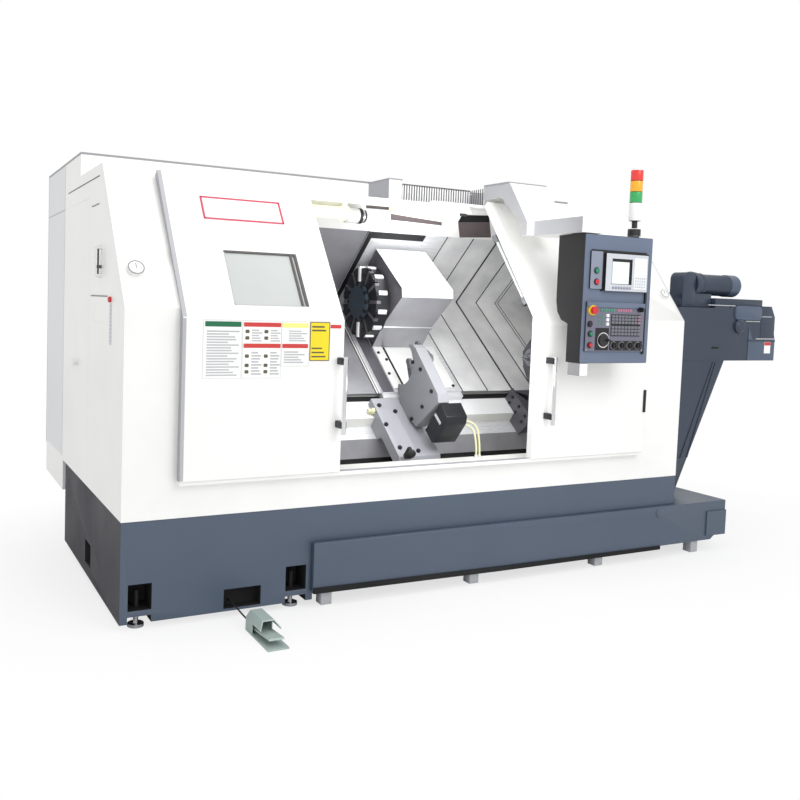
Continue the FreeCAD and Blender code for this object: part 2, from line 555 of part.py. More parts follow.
# ---------------------------------------------------------------- cross slide and turret
SLIDE_V = CARRIAGE_TOP + 8 + RUN
HOUSING_FRONT = -559.0
slide = slant_prism([(-506, SLIDE_V), (-506, 209), (HOUSING_FRONT, 487), (-520, 524), (-120, 501),
                     (-110, 300), (-110, SLIDE_V)], HOUSING)
flange_band = slant_prism([(-506, 193), (-506, 209), (-515, 209), (-515, 193)], HOUSING)
DISC = (HOUSING[0] - 14 - DISC_THICK, HOUSING[0] - 14)
disc_y, disc_z = slope(DISC_U, AXIS_V)
hub = many_sided((HOUSING[0] - 13, disc_y, disc_z), (1, 0, 0), 120, 14, 24)
slide = slide.cut(rod((HOUSING[0] - 1, disc_y, disc_z), (1, 0, 0), 50 + SPINDLE_FIT, 120))
hub = hub.cut(rod((HOUSING[0] - 14, disc_y, disc_z), (1, 0, 0), 60, 15))
PARTS["cross_slide"] = fused([slide, flange_band, hub])

disc_middle = (0, disc_y, disc_z)
disc = stacked([(DISC[0], DISC[1], DISC_RADIUS), (DISC[0] - 18, DISC[0], 82)], disc_middle, (1, 0, 0), STATIONS)
shaft = rod((DISC[0], disc_y, disc_z), (1, 0, 0), 50, HOUSING[0] + 100 - DISC[0])
tool_slot = box((DISC[0] - 1, DISC[0] + 34), (disc_y - 13, disc_y + 13), (disc_z + 96, disc_z + DISC_RADIUS + 5))
wedge = box((DISC[0] + 2, DISC[0] + 26), (disc_y + 14, disc_y + 34), (disc_z + DISC_RADIUS - 22, disc_z + DISC_RADIUS + 3))
wedges = []
for k in range(STATIONS):
    turn = k * 360.0 / STATIONS
    cut = tool_slot.copy()
    cut.rotate(Vec(0, disc_y, disc_z), Vec(1, 0, 0), turn)
    disc = disc.cut(cut)
    block = wedge.copy()
    block.rotate(Vec(0, disc_y, disc_z), Vec(1, 0, 0), turn)
    wedges.append(block)
PARTS["turret_disc"] = fused([disc, shaft] + wedges)

# ---------------------------------------------------------------- tailstock
A_SEAT = WAY_A_V + RUN
B_SEAT = WAY_B_V + RUN
REAR_EDGE = COVER_END - 50
tail_base = slant_prism([(REAR_EDGE, A_SEAT), (WAY_A[0], A_SEAT), (WAY_B[1] - 2, B_SEAT), (-1140, B_SEAT),
                         (-1152, 0), (-1140, 62), (REAR_EDGE, 62)], TAIL_BASE)
wiper = slant_prism([(REAR_EDGE + 6, A_SEAT), (WAY_A[0], A_SEAT), (WAY_B[1] - 2, B_SEAT), (-1152, B_SEAT),
                     (-1166, 0), (-1150, 74), (REAR_EDGE + 6, 74)], (TAIL_BASE[0] - 14, TAIL_BASE[0]))
tail_body = slant_prism([(REAR_EDGE, 61), (-1140, 61), (-1130, 120), (-1000, 330), (-930, AXIS_V + 122),
                         (-760, AXIS_V + 122), (-690, AXIS_V + 70), (-690, AXIS_V - 70),
                         (-760, AXIS_V - 140), (-880, 72)], (TAIL_BODY_LEFT, TAIL_BASE[1]))
barrel = rod((TAIL_BODY_LEFT - 40, AXIS_Y, AXIS_Z), (1, 0, 0), 95, 41)
tailstock = fused([tail_base, wiper, tail_body, barrel])
tailstock = tailstock.cut(rod((TAIL_BODY_LEFT - 50, AXIS_Y, AXIS_Z), (1, 0, 0), QUILL_RADIUS + SPINDLE_FIT, 300))
PARTS["tailstock"] = tailstock
QUILL_OUT = 60.0
QUILL_IN = 240.0
CENTRE = [(-18.0, 30.0), (-36.0, 22.0), (-50.0, 12.0), (-62.0, 4.0)]
quill_nose = TAIL_BODY_LEFT - QUILL_OUT
quill = rod((quill_nose, AXIS_Y, AXIS_Z), (1, 0, 0), QUILL_RADIUS, QUILL_OUT + QUILL_IN)
centre = []
reach = 0.0
for along, radius in CENTRE:
    centre.append((quill_nose + along, quill_nose + reach, radius))
    reach = along
PARTS["quill"] = fused([quill, stacked(centre, (0, AXIS_Y, AXIS_Z), (1, 0, 0))])

# ---------------------------------------------------------------- steady rest
CARRIER_TOP = 28.7
STEADY_SEAT = CARRIER_TOP + RUN
carrier = slant_prism([(REAR_EDGE - 10, A_SEAT), (WAY_A[0], A_SEAT), (WAY_B[1] - 2, B_SEAT), (-1138, B_SEAT),
                       (-1160, -40), (-1379, -40), (-1379, 12), (-1362, CARRIER_TOP), (REAR_EDGE - 10, CARRIER_TOP)],
                      (STEADY_CARRIER_LEFT, STEADY[1] + 20))
head_bolts = []
for u, x in ((-985, 1575), (-1130, 1560), (-1300, 1575), (-1035, 1660), (-1330, 1680)):
    y, z = slope(u, CARRIER_TOP)
    head_bolts.append(many_sided((x, y, z), ALONG_V, 11, 9, 6))
PARTS["steady_carrier"] = fused([carrier] + head_bolts)

throat = [slope(-881, 94), slope(-941, 215), slope(-800, 335)]
outline = [slope(*p) for p in ((-800, 335), (-828, 363), (-865, 374), (-1197, 348), (-1237, 319), (-1181, 59),
                               (-1062, STEADY_SEAT), (-968, STEADY_SEAT), (-894, 69), (-881, 94))]
edges = [Part.makeLine(Vec(STEADY[0], *outline[k]), Vec(STEADY[0], *outline[k + 1])) for k in range(len(outline) - 1)]
edges.append(Part.Arc(*[Vec(STEADY[0], *p) for p in throat]).toShape())
steady = Part.Face(Part.Wire(edges)).extrude(Vec(STEADY[1] - STEADY[0], 0, 0))
pins = []
PIVOT_UP = (-925.0, 345.0)
PIVOT_DOWN = (-925.0, 108.0)
for u, v in (PIVOT_UP, PIVOT_DOWN):
    y, z = slope(u, v)
    pins.append(rod((STEADY[1] - 1, y, z), (1, 0, 0), 12, 26))
middle = slant_box((STEADY[0] + 15, STEADY[1] - 15), (-960, AXIS_U - 80), (AXIS_V - 18, AXIS_V + 18))
PARTS["steady_body"] = fused([steady, middle] + pins)


def link(start, end, x, wide, narrow, hole):
    """Flat arm between two places on the slope, with a pivot hole and a roller pad."""
    y0, z0 = slope(*start)
    y1, z1 = slope(*end)
    length = x[1] - x[0]
    d = unit((y0, z0), (y1, z1))
    side = (-d[1], d[0])
    bar = [(y0 + side[0] * wide, z0 + side[1] * wide), (y1 + side[0] * narrow, z1 + side[1] * narrow),
           (y1 - side[0] * narrow, z1 - side[1] * narrow), (y0 - side[0] * wide, z0 - side[1] * wide)]
    pieces = [prism_x(bar, x), rod((x[0], y0, z0), (1, 0, 0), wide, length)]
    pieces.append(rod((x[0], y1, z1), (1, 0, 0), narrow + 4, length))
    return fused(pieces).cut(rod((x[0], y0, z0), (1, 0, 0), hole, length))


ARM_X = (STEADY[1] + RUN, STEADY[1] + 22)
TIP_U = AXIS_U + 40
PARTS["steady_arm_upper"] = link(PIVOT_UP, (TIP_U, AXIS_V + 69), ARM_X, 24, 14, 12.05)
PARTS["steady_arm_lower"] = link(PIVOT_DOWN, (TIP_U, AXIS_V - 69), ARM_X, 24, 14, 12.05)
cylinder = slant_prism([(-1238, 100), (-1238, 316), (-1330, 306), (-1352, 270), (-1352, 120), (-1330, 96)],
                       (STEADY[0] + 14, STEADY[1] + 80))
cylinder = cylinder.cut(slant_prism([(-1237.8, 330), (-1181, 59), (-1100, 59), (-1100, 330)], (1700, 1900)))
PARTS["steady_cylinder"] = cylinder

# ---------------------------------------------------------------- lamps
LAMP_Z = ROOF_HEIGHT - 144
lamp = stacked([(1060, 1330, 34), (1330, 1372, 40)], (0, 560, LAMP_Z), (1, 0, 0), 16)
lamp_arm = box((1345, 1365), (550, 570), (LAMP_Z, TRAY_FLOOR - SHEET))
lamp_arm_2 = box((1070, 1090), (550, 570), (LAMP_Z, TRAY_FLOOR - SHEET))
tube_lamp = box((1660, 2120), (540, 590), (TRAY_FLOOR - 66, TRAY_FLOOR - SHEET))
PARTS["work_lamps"] = Part.makeCompound([fused([lamp, lamp_arm, lamp_arm_2]), tube_lamp])

# ---------------------------------------------------------------- chain and box on the roof
CHAIN_BOX = (1690.0, 1780.0)
PARTS["cable_box"] = box(CHAIN_BOX, (650, 900), (TRAY_FLOOR, ROOF_HEIGHT + 95))
CHAIN_Y = (655.0, 745.0)
CHAIN = (CHAIN_BOX[1] + RUN, HOOD[0] - RUN)
pitch = (CHAIN[1] - CHAIN[0]) / CHAIN_BARS
chain_low = TRAY_FLOOR + 94
chain_high = TRAY_FLOOR + 120
comb = [(CHAIN[0], TRAY_FLOOR + RUN)]
for k in range(CHAIN_BARS):
    x = CHAIN[0] + k * pitch
    comb += [(x, chain_low), (x + 0.2 * pitch, chain_low), (x + 0.3 * pitch, chain_high),
             (x + 0.8 * pitch, chain_high), (x + 0.9 * pitch, chain_low)]
comb += [(CHAIN[1], chain_low), (CHAIN[1], TRAY_FLOOR + RUN)]
PARTS["energy_chain"] = prism_y(comb, CHAIN_Y)

# ---------------------------------------------------------------- pendant
ARM_Z = (PENDANT_TOP + 5, PENDANT_TOP + 88)
HOOD_TOP = ROOF_HEIGHT + 88
hood = prism_x([(300, ROOF_HEIGHT - 45), (160, ARM_Z[1] - 8), (160, ARM_Z[0] + 3), (105, ARM_Z[0] + 3),
                (105, ARM_Z[1] - 7), (262, HOOD_TOP - 28), (285, HOOD_TOP - 3), (HOOD_BACK, HOOD_TOP),
                (HOOD_BACK, ROOF_HEIGHT + RUN), (345, ROOF_HEIGHT + RUN)], HOOD)
inside = (HOOD[0] + SHEET, HOOD[1] - SHEET)
hood = hood.cut(box(inside, (380, HOOD_BACK - SHEET), (ROOF_HEIGHT, HOOD_TOP - 6)))
runner = box(inside, (RAIL_Y[0] - 5, HOOD_BACK), (TRAY_FLOOR + RUN, HOOD_TOP - 5))
track = box(HOOD, (RAIL_Y[0] - RUN, RAIL_Y[1] + RUN), (TRAY_FLOOR, TRAY_FLOOR + RAIL_HIGH + RUN))
arm = box(ARM, (PENDANT_FRONT + 3, 110), ARM_Z)
chain_end = box((HOOD[0], HOOD[0] + 16), (HOOD_BACK - SHEET, CHAIN_Y[1]), (TRAY_FLOOR + RUN, chain_low))
PARTS["pendant_hood"] = fused([hood, runner, arm, chain_end]).cut(track)

side = [(PENDANT_FRONT, PENDANT_BOTTOM), (PENDANT_FRONT, PENDANT_TOP), (PENDANT_BACK, PENDANT_TOP),
        (PENDANT_BACK, 1552), (-92, 1495), (-125, 1450), (-176, 1432), (-176, PENDANT_BOTTOM)]
housing = prism_x(side[::-1], PENDANT_X)
swivel = rod((PENDANT_PIVOT[0], PENDANT_PIVOT[1], PENDANT_TOP), (0, 0, 1), 40, 5 - RUN)
bracket = box((PENDANT_X[0] + 5, PENDANT_X[0] + 60), (PENDANT_FRONT, -190), (PENDANT_BOTTOM - 68, PENDANT_BOTTOM))
PARTS["pendant_housing"] = fused([housing, swivel, bracket])

FACE = PENDANT_FRONT - PANEL_THICK


def on_panel(across, up):
    """(x, z) of a place on the pendant's face, from its lower left corner."""
    return (PENDANT_X[0] + across, PENDANT_BOTTOM + up)


def panel_plate(low, high, y):
    """Plate on the pendant's face between two places."""
    first = on_panel(*low)
    second = on_panel(*high)
    return box((first[0], second[0]), y, (first[1], second[1]))


display = panel_plate((131, 389), (433, 587), (PENDANT_FRONT - 26, PENDANT_FRONT))
display = display.cut(panel_plate((173, 425), (318, 561), (PENDANT_FRONT - 27, PENDANT_FRONT - 22)))
lower_panel = panel_plate((23, 65), (438, 327), (FACE, PENDANT_FRONT))
small_panel = panel_plate((38, 397), (118, 595), (FACE, PENDANT_FRONT))
keypad = panel_plate((198, 147), (411, 265), (FACE - 3, FACE))
BUTTON = 11.0
START = on_panel(53, 158)
STOP = on_panel(53, 98)
ESTOP = on_panel(61, 283)
KEY = on_panel(398, 293)
WHEEL = on_panel(145, 125)
KNOB_STEP = 58.7
KNOBS = [on_panel(225 + KNOB_STEP * k, 97) for k in range(4)]


def collar(place, outer, inner):
    """Raised ring on the panel round a button."""
    seat = (place[0], FACE, place[1])
    return many_sided(seat, (0, -1, 0), outer, COLLAR).cut(many_sided(seat, (0, -1, 0), inner, COLLAR))


def button(place, radius, front, back):
    """Push button head, from its front face back into its collar."""
    return many_sided((place[0], FACE - back, place[1]), (0, -1, 0), radius, front - back)


TRAVEL = 4.0
panel_pieces = [display, lower_panel, small_panel, keypad]
panel_pieces += [collar(START, 16, BUTTON + RUN), collar(STOP, 16, BUTTON + RUN), collar(ESTOP, 24, BUTTON + RUN)]
for x, z in (on_panel(77, 493), on_panel(80, 434), on_panel(48, 210)):
    panel_pieces.append(many_sided((x, FACE, z), (0, -1, 0), 13, 9))
PARTS["control_panel"] = fused(panel_pieces)
PARTS["start_button"] = button(START, BUTTON, COLLAR + 6, TRAVEL + RUN)
PARTS["stop_button"] = button(STOP, BUTTON, COLLAR + 6, TRAVEL + RUN)
mushroom = many_sided((ESTOP[0], FACE - COLLAR - TRAVEL - RUN, ESTOP[1]), (0, -1, 0), 20, 18 - TRAVEL, 16)
PARTS["emergency_stop"] = fused([mushroom, button(ESTOP, BUTTON, COLLAR + 10, TRAVEL + RUN)])


def rotary(place, radius, length):
    """Control knob with a pointer bar on its front."""
    y = FACE - RUN - length
    body = many_sided((place[0], y, place[1]), (0, 1, 0), radius, length)
    pointer = box((place[0] - 3, place[0] + 3), (y - 4, y), (place[1] - radius * 0.6, place[1] + radius * 0.85))
    return fused([body, pointer])


for k, place in enumerate(KNOBS):
    PARTS["override_knob_%d" % (k + 1)] = rotary(place, 17, 18)
key = many_sided((KEY[0], FACE - RUN, KEY[1]), (0, -1, 0), 14, 10)
bow = box((KEY[0] - 2, KEY[0] + 2), (FACE - RUN - 34, FACE - RUN - 10), (KEY[1] - 12, KEY[1] + 12))
PARTS["key_switch"] = fused([key, bow])
wheel = many_sided((WHEEL[0], FACE - RUN, WHEEL[1]), (0, -1, 0), 32, 14, 24)
crank = many_sided((WHEEL[0] + 20, FACE - RUN - 14, WHEEL[1]), (0, -1, 0), 7, 18, 8)
PARTS["handwheel"] = fused([wheel, crank])

TOWER = (PENDANT_X[0] + 385.0, -240.0)
TOWER_R = 32.0
STACK = 93.0                   # height of the foot and pole under the stack
STACK_BODY = 96.0
LENS = 56.0
LENS_GAP = 3.0
steps = [(0, 8, 28), (8, 50, 34), (50, STACK, 14), (STACK, STACK + STACK_BODY, TOWER_R)]
for k in range(3):
    low = steps[-1][1]
    steps += [(low, low + LENS_GAP, TOWER_R - 3), (low + LENS_GAP, low + LENS_GAP + LENS, TOWER_R)]
steps.append((steps[-1][1], steps[-1][1] + 8, TOWER_R - 6))
tower = stacked(steps, (TOWER[0], TOWER[1], PENDANT_TOP), (0, 0, 1), 20)
PARTS["signal_tower"] = tower

# ---------------------------------------------------------------- foot switch
FOOT_X = (540.0, 640.0)
FOOT_Y = (-435.0, -165.0)
plate = box(FOOT_X, FOOT_Y, (0, 8))
HOOD_Y = (FOOT_Y[0] + 60, FOOT_Y[1])
outer_arch = [(FOOT_X[0], 0), (FOOT_X[0], 62), (FOOT_X[0] + 22, 90), (FOOT_X[1] - 22, 90), (FOOT_X[1], 62), (FOOT_X[1], 0)]
inner_arch = [(FOOT_X[0] + 4, -1), (FOOT_X[0] + 4, 60), (FOOT_X[0] + 24, 86), (FOOT_X[1] - 24, 86),
              (FOOT_X[1] - 4, 60), (FOOT_X[1] - 4, -1)]
arch = prism_y(outer_arch, HOOD_Y).cut(prism_y(inner_arch, (HOOD_Y[0] - 1, HOOD_Y[1] - 4)))
arch = arch.cut(prism_x([(HOOD_Y[0] - 1, 95), (HOOD_Y[0] - 1, 30), (HOOD_Y[0] + 70, 95)], (500, 700)))
arch = arch.cut(box(FOOT_X, (HOOD_Y[0], FOOT_Y[1] - 80), (8, 56)))
ears = []
for x in (FOOT_X[0] + 4, FOOT_X[1] - 4 - 8):
    ears.append(box((x, x + 8), (FOOT_Y[1] - 50, FOOT_Y[1] - 20), (8, 34)))
PEDAL_PIN = (FOOT_Y[1] - 35, 24.0)
foot = fused([plate, arch] + ears)
foot = foot.cut(rod((FOOT_X[0] + 4, PEDAL_PIN[0], PEDAL_PIN[1]), (1, 0, 0), 4 + SPINDLE_FIT, 92))
PARTS["foot_switch"] = foot
pedal = prism_x([(FOOT_Y[1] - 50, 20), (FOOT_Y[1] - 28, 20), (FOOT_Y[1] - 28, 28), (FOOT_Y[1] - 50, 28),
                 (FOOT_Y[0] + 30, 44), (FOOT_Y[0] + 20, 38)], (FOOT_X[0] + 14, FOOT_X[1] - 14))
pedal_pin = rod((FOOT_X[0] + 5, PEDAL_PIN[0], PEDAL_PIN[1]), (1, 0, 0), 4, FOOT_X[1] - FOOT_X[0] - 10)
PARTS["foot_pedal"] = fused([pedal, pedal_pin])


# ---------------------------------------------------------------- cords
def cord(points, radius, label):
    """Eight-sided cord through straight runs joined by tangent arcs; prints its check."""
    places = [Vec(*p) for p in points]
    edges = []
    start = places[0]
    for k in range(1, len(places) - 1):
        before = places[k] - places[k - 1]
        after = places[k + 1] - places[k]
        shorter = min(before.Length, after.Length)
        half = before.getAngle(after) / 2.0
        bend = 0.45 * shorter / math.tan(half)
        set_back = 0.45 * shorter
        one = places[k] - before.normalize() * set_back
        two = places[k] + after.normalize() * set_back
        inward = (two - places[k]) + (one - places[k])
        centre = places[k] + inward.normalize() * (bend / math.cos(half))
        middle = centre + (places[k] - centre).normalize() * bend
        edges.append(Part.makeLine(start, one))
        edges.append(Part.Arc(one, middle, two).toShape())
        print("%s bend %d: radius %.1f mm, turn %.0f degrees" % (label, k, bend, math.degrees(2 * half)))
        start = two
    edges.append(Part.makeLine(start, places[-1]))
    path = Part.Wire(edges)
    tangent = (places[1] - places[0]).normalize()
    section = many_sided(places[0], tangent, radius, 1.0, 8).Faces
    start_face = min(section, key=lambda face: (face.CenterOfMass - places[0]).Length)
    tube = path.makePipeShell([start_face.OuterWire], True, False)
    ideal = start_face.Area * path.Length
    print("%s: length %.0f mm, volume %.1f %% of section x length"
          % (label, path.Length, 100 * tube.Volume / ideal))
    return tube


CABLE_RADIUS = 4.0
PARTS["foot_cable"] = cord([(534, 60 - RUN, 70), (534, -22, 70), (566, -92, 27), (566, FOOT_Y[1] + RUN, 27)],
                           CABLE_RADIUS, "foot_cable")
hose_y, hose_z = slope(-1295, 200)
HOSE_START = STEADY[1] + 80
hoses = []
for shift in HOSE_SHIFTS:
    hose_x = HOSE_START + 105 + shift
    hoses.append(cord([(HOSE_START + RUN, hose_y, hose_z + shift), (hose_x, hose_y, hose_z + shift),
                       (hose_x, FITTING_Y, hose_z - 100), (hose_x, FITTING_Y, FITTING_TOP + RUN)],
                      6.0, "steady_hose"))
PARTS["steady_hoses"] = Part.makeCompound(hoses)

# ---------------------------------------------------------------- chip conveyor
CONVEYOR = (CONVEYOR_FRONT, CONVEYOR_FRONT + CONVEYOR_WIDTH)
TROUGH_LOW = TANK_TOP + RUN
HEAD_BOTTOM = 1199.0
INCLINE_FOOT = GUARD_LENGTH + 219.0
INCLINE_TOP = GUARD_LENGTH + 625.0
INCLINE_WIDE = 441.0
GUARD_GAP = 10.0
rate = (INCLINE_TOP - INCLINE_FOOT) / (HEAD_BOTTOM - TROUGH_LOW)
knee = HEAD_BOTTOM - (INCLINE_TOP - INCLINE_WIDE - GUARD_LENGTH - GUARD_GAP) / rate
TROUGH = [(TROUGH_LEFT, TROUGH_LOW), (INCLINE_FOOT, TROUGH_LOW), (INCLINE_TOP, HEAD_BOTTOM),
          (INCLINE_TOP - INCLINE_WIDE, HEAD_BOTTOM), (GUARD_LENGTH + GUARD_GAP, knee),
          (GUARD_LENGTH + GUARD_GAP, TROUGH_TOP), (TROUGH_LEFT, TROUGH_TOP)]
trough = prism_y(TROUGH, CONVEYOR)
mouth = box((TROUGH_LEFT + 30, GUARD_LENGTH - 60), (CONVEYOR[0] + CONVEYOR_SHEET, CONVEYOR[1] - CONVEYOR_SHEET),
            (TROUGH_LOW + 30, TROUGH_TOP + 1))
trough = trough.cut(mouth)
side_rim = box((INCLINE_FOOT - 120, INCLINE_FOOT + 20), (CONVEYOR[0] - 14, CONVEYOR[0]),
               (TROUGH_TOP - 20, TROUGH_TOP + 90))
PARTS["conveyor_trough"] = fused([trough, side_rim])



def in_head(x, z):
    """(x, z) of a place in the conveyor head, from the guard's right side and the head's floor."""
    return (GUARD_LENGTH + x, HEAD_BOTTOM + z)


HEAD_FLAT = 349.0              # top of the straight part above the head's floor
HEAD = [in_head(174, 0), in_head(1120, 0), in_head(1120, 153), in_head(1092, 253), in_head(1034, 333),
        in_head(970, 375), in_head(860, 393), in_head(710, 393), in_head(650, HEAD_FLAT), in_head(174, HEAD_FLAT)]
conveyor_head = prism_y(HEAD, CONVEYOR)
chute = [in_head(860, -1), in_head(1114, -1), in_head(1114, 151), in_head(1087, 249), in_head(1031, 327),
         in_head(968, 369), in_head(860, 387), in_head(710, 387), in_head(650, 301), in_head(620, 221),
         in_head(650, 141), in_head(760, 91), in_head(860, 91)]
conveyor_head = conveyor_head.cut(prism_y(chute, (CONVEYOR[0] + CONVEYOR_SHEET, CONVEYOR[1] - CONVEYOR_SHEET)))
DRUM = in_head(750, 233)
shaft_hole = rod((DRUM[0], CONVEYOR[0] - 20, DRUM[1]), (0, 1, 0), 22 + SPINDLE_FIT, CONVEYOR_WIDTH + 40)
bearing = many_sided((DRUM[0], CONVEYOR[0] - 12, DRUM[1]), (0, 1, 0), 48, 12, 16)
head_top = HEAD_BOTTOM + HEAD_FLAT
top_plate = box((GUARD_LENGTH + 510, GUARD_LENGTH + 650), CONVEYOR, (head_top, head_top + 52))
ledge_plate = box((GUARD_LENGTH + 848, GUARD_LENGTH + 1120), (CONVEYOR[0] - 5, CONVEYOR[0]),
                  (HEAD_BOTTOM + 131, HEAD_BOTTOM + 143))
conveyor_head = fused([conveyor_head, bearing, top_plate, ledge_plate]).cut(shaft_hole)
PARTS["conveyor_head"] = conveyor_head
drum = many_sided((DRUM[0], CONVEYOR[0] + 8, DRUM[1]), (0, 1, 0), DRUM_RADIUS, CONVEYOR_WIDTH - 16, 16)
shaft = rod((DRUM[0], CONVEYOR[0] - 18, DRUM[1]), (0, 1, 0), 22, CONVEYOR_WIDTH + 24)
PARTS["conveyor_drum"] = fused([drum, shaft])

MOTOR_LEFT = GUARD_LENGTH + 280
gear_case = box((GUARD_LENGTH + 120, MOTOR_LEFT), (CONVEYOR[0] + 20, CONVEYOR[0] + 160), (head_top + 52, head_top + 227))
gear_foot = box((GUARD_LENGTH + 180, MOTOR_LEFT + 220), (CONVEYOR[0] + 20, CONVEYOR[0] + 200), (head_top, head_top + 92))
motor = stacked([(0, 12, 84), (12, 40, 64), (40, 52, 78), (52, 400, 58), (400, 446, 64)],
                (MOTOR_LEFT, CONVEYOR[0] + 90, head_top + 152), (1, 0, 0), 20)
PARTS["conveyor_motor"] = fused([gear_case, gear_foot, motor])

# ---------------------------------------------------------------- origin and export
CORDS = ("foot_cable", "steady_hoses")
whole = Part.makeCompound([shape for name, shape in PARTS.items() if name not in CORDS]).BoundBox
MOVE = Vec(-(whole.XMin + whole.XMax) / 2, -(whole.YMin + whole.YMax) / 2, -whole.ZMin)
print("moved by %.4f %.4f %.4f" % (MOVE.x, MOVE.y, MOVE.z))
print("whole product %.0f x %.0f x %.0f mm" % (whole.XLength, whole.YLength, whole.ZLength))

os.makedirs("parts", exist_ok=True)
triangles = 0
for name, shape in PARTS.items():
    placed = shape.copy()
    placed.translate(MOVE)
    solids = len(placed.Solids)
    valid = placed.isValid()
    if not valid or solids == 0:
        print("LOOK AT", name, "valid", valid, "solids", solids)
    placed.exportStep("parts/%s.step" % name)
    triangles += len(placed.tessellate(0.5)[1])
print("%d pieces, about %d triangles" % (len(PARTS), triangles))
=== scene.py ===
import math

import bmesh
import bpy
import numpy as np
from mathutils import Matrix, Vector


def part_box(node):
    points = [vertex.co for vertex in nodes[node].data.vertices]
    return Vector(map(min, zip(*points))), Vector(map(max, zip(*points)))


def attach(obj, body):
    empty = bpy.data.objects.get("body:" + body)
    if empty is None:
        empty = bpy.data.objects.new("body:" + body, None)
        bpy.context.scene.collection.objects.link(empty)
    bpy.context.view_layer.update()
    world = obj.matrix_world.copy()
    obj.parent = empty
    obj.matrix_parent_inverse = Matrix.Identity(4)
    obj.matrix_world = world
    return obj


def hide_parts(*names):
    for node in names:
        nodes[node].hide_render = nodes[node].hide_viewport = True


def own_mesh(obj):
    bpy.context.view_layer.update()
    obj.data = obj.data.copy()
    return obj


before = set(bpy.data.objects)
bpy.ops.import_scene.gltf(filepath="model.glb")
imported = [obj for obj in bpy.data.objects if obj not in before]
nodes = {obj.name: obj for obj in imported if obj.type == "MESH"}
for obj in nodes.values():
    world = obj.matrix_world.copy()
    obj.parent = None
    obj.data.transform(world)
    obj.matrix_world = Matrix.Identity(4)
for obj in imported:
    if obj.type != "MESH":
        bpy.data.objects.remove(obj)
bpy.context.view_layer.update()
BASE_LOW, BASE_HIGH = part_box("base_plinth")
CORNER = np.array([BASE_LOW.x, BASE_LOW.y, 0.0])
LENGTH = BASE_HIGH.x - BASE_LOW.x
print("machine corner", CORNER.round(4), "guard length", round(LENGTH, 3))


def at(x, y, z):
    """A place measured from the machine's corner, in the shared frame."""
    return CORNER + np.array([x, y, z], float)


def span(node, side):
    """Low and high limit of a node along x, y or z, measured from the machine's corner."""
    low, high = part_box(node)
    k = "xyz".index(side)
    return low[k] - CORNER[k], high[k] - CORNER[k]


def table(text):
    """Rows of a text table: what starts like a number becomes one, the rest stays a word."""
    return [[float(word) if word[0] in "-.0123456789" else word for word in line.split()]
            for line in text.strip().splitlines()]


# %% [markdown]
# The camera comes first.
# It stands to the left of the machine at eye height, looks right and slightly
# down, and leans a little, as the photographer's did.
# %% Camera
EYE = at(-0.857, -3.702, 1.508)
YAW, PITCH, ROLL = math.radians(26.09), math.radians(-3.57), math.radians(1.83)
FOCAL_PIXELS, PICTURE, CENTRE_ROW = 847.9, 800.0, 354.4

ahead = np.array([math.sin(YAW) * math.cos(PITCH), math.cos(YAW) * math.cos(PITCH), math.sin(PITCH)])
level = np.array([math.cos(YAW), -math.sin(YAW), 0.0])
upright = np.cross(level, ahead)
right = math.cos(ROLL) * level + math.sin(ROLL) * upright
above = math.cos(ROLL) * upright - math.sin(ROLL) * level

camera_data = bpy.data.cameras.new("photo_camera")
camera_data.sensor_width = 36.0
camera_data.lens = camera_data.sensor_width * FOCAL_PIXELS / PICTURE
camera_data.shift_x = 0.10
camera_data.shift_y = (CENTRE_ROW - PICTURE / 2) / PICTURE
camera_data.clip_end = 60.0
camera = bpy.data.objects.new("photo_camera", camera_data)
turned_view = Matrix(np.column_stack([right, above, -ahead]).tolist()).to_4x4()
camera.matrix_world = Matrix.Translation(EYE.tolist()) @ turned_view
scene = bpy.context.scene
scene.collection.objects.link(camera)
scene.camera = camera
print("camera at", EYE.round(3), "lens", round(camera_data.lens, 2), "mm")

# %% [markdown]
# A studio: a pale floor, a sky that is white only to the camera and through
# glass, and large soft lamps.  The white machine has to stay below pure white, so
# the lamps are kept down and the paint's own colour does the work.
# %% Colours, nodes and lamps
def linear(code):
    """A written colour such as #F2F2EF as linear light: x/12.92, or ((x+0.055)/1.055)^2.4."""
    shares = np.array([int(code[k:k + 2], 16) for k in (1, 3, 5)]) / 255.0
    curved = np.where(shares <= 0.04045, shares / 12.92, ((shares + 0.055) / 1.055) ** 2.4)
    return (*curved.tolist(), 1.0)


def add(tree, kind, inputs=None, links=None, **settings):
    """Adds one node, sets its settings and input values, and links its inputs."""
    made = tree.nodes.new("ShaderNode" + kind)
    for key, value in settings.items():
        setattr(made, key, value)
    for key, value in (inputs or {}).items():
        made.inputs[key].default_value = value
    for key, source in (links or {}).items():
        tree.links.new(source, made.inputs[key])
    return made


WHITE = (1.0, 1.0, 1.0, 1.0)
SKY_LIGHT = 0.88
scene.view_settings.view_transform = "Standard"
scene.world = bpy.data.worlds.new("studio")
scene.world.use_nodes = True
sky = scene.world.node_tree
sky.nodes.clear()
ray = add(sky, "LightPath")
clear_ray = add(sky, "Math", links={0: ray.outputs["Is Camera Ray"], 1: ray.outputs["Is Transmission Ray"]},
                operation="MAXIMUM")
strength = add(sky, "MapRange", {"To Min": SKY_LIGHT, "To Max": 1.0}, {"Value": clear_ray.outputs[0]})
glow = add(sky, "Background", {"Color": WHITE}, {"Strength": strength.outputs[0]})
add(sky, "OutputWorld", links={"Surface": glow.outputs[0]})


def lamp(name, place, target, size, power):
    """A square soft lamp that faces a target."""
    data = bpy.data.lights.new(name, "AREA")
    data.size = size
    data.energy = power
    made = bpy.data.objects.new(name, data)
    made.location = place.tolist()
    made.rotation_mode = "QUATERNION"
    made.rotation_quaternion = Vector((target - place).tolist()).to_track_quat("-Z", "Y")
    scene.collection.objects.link(made)


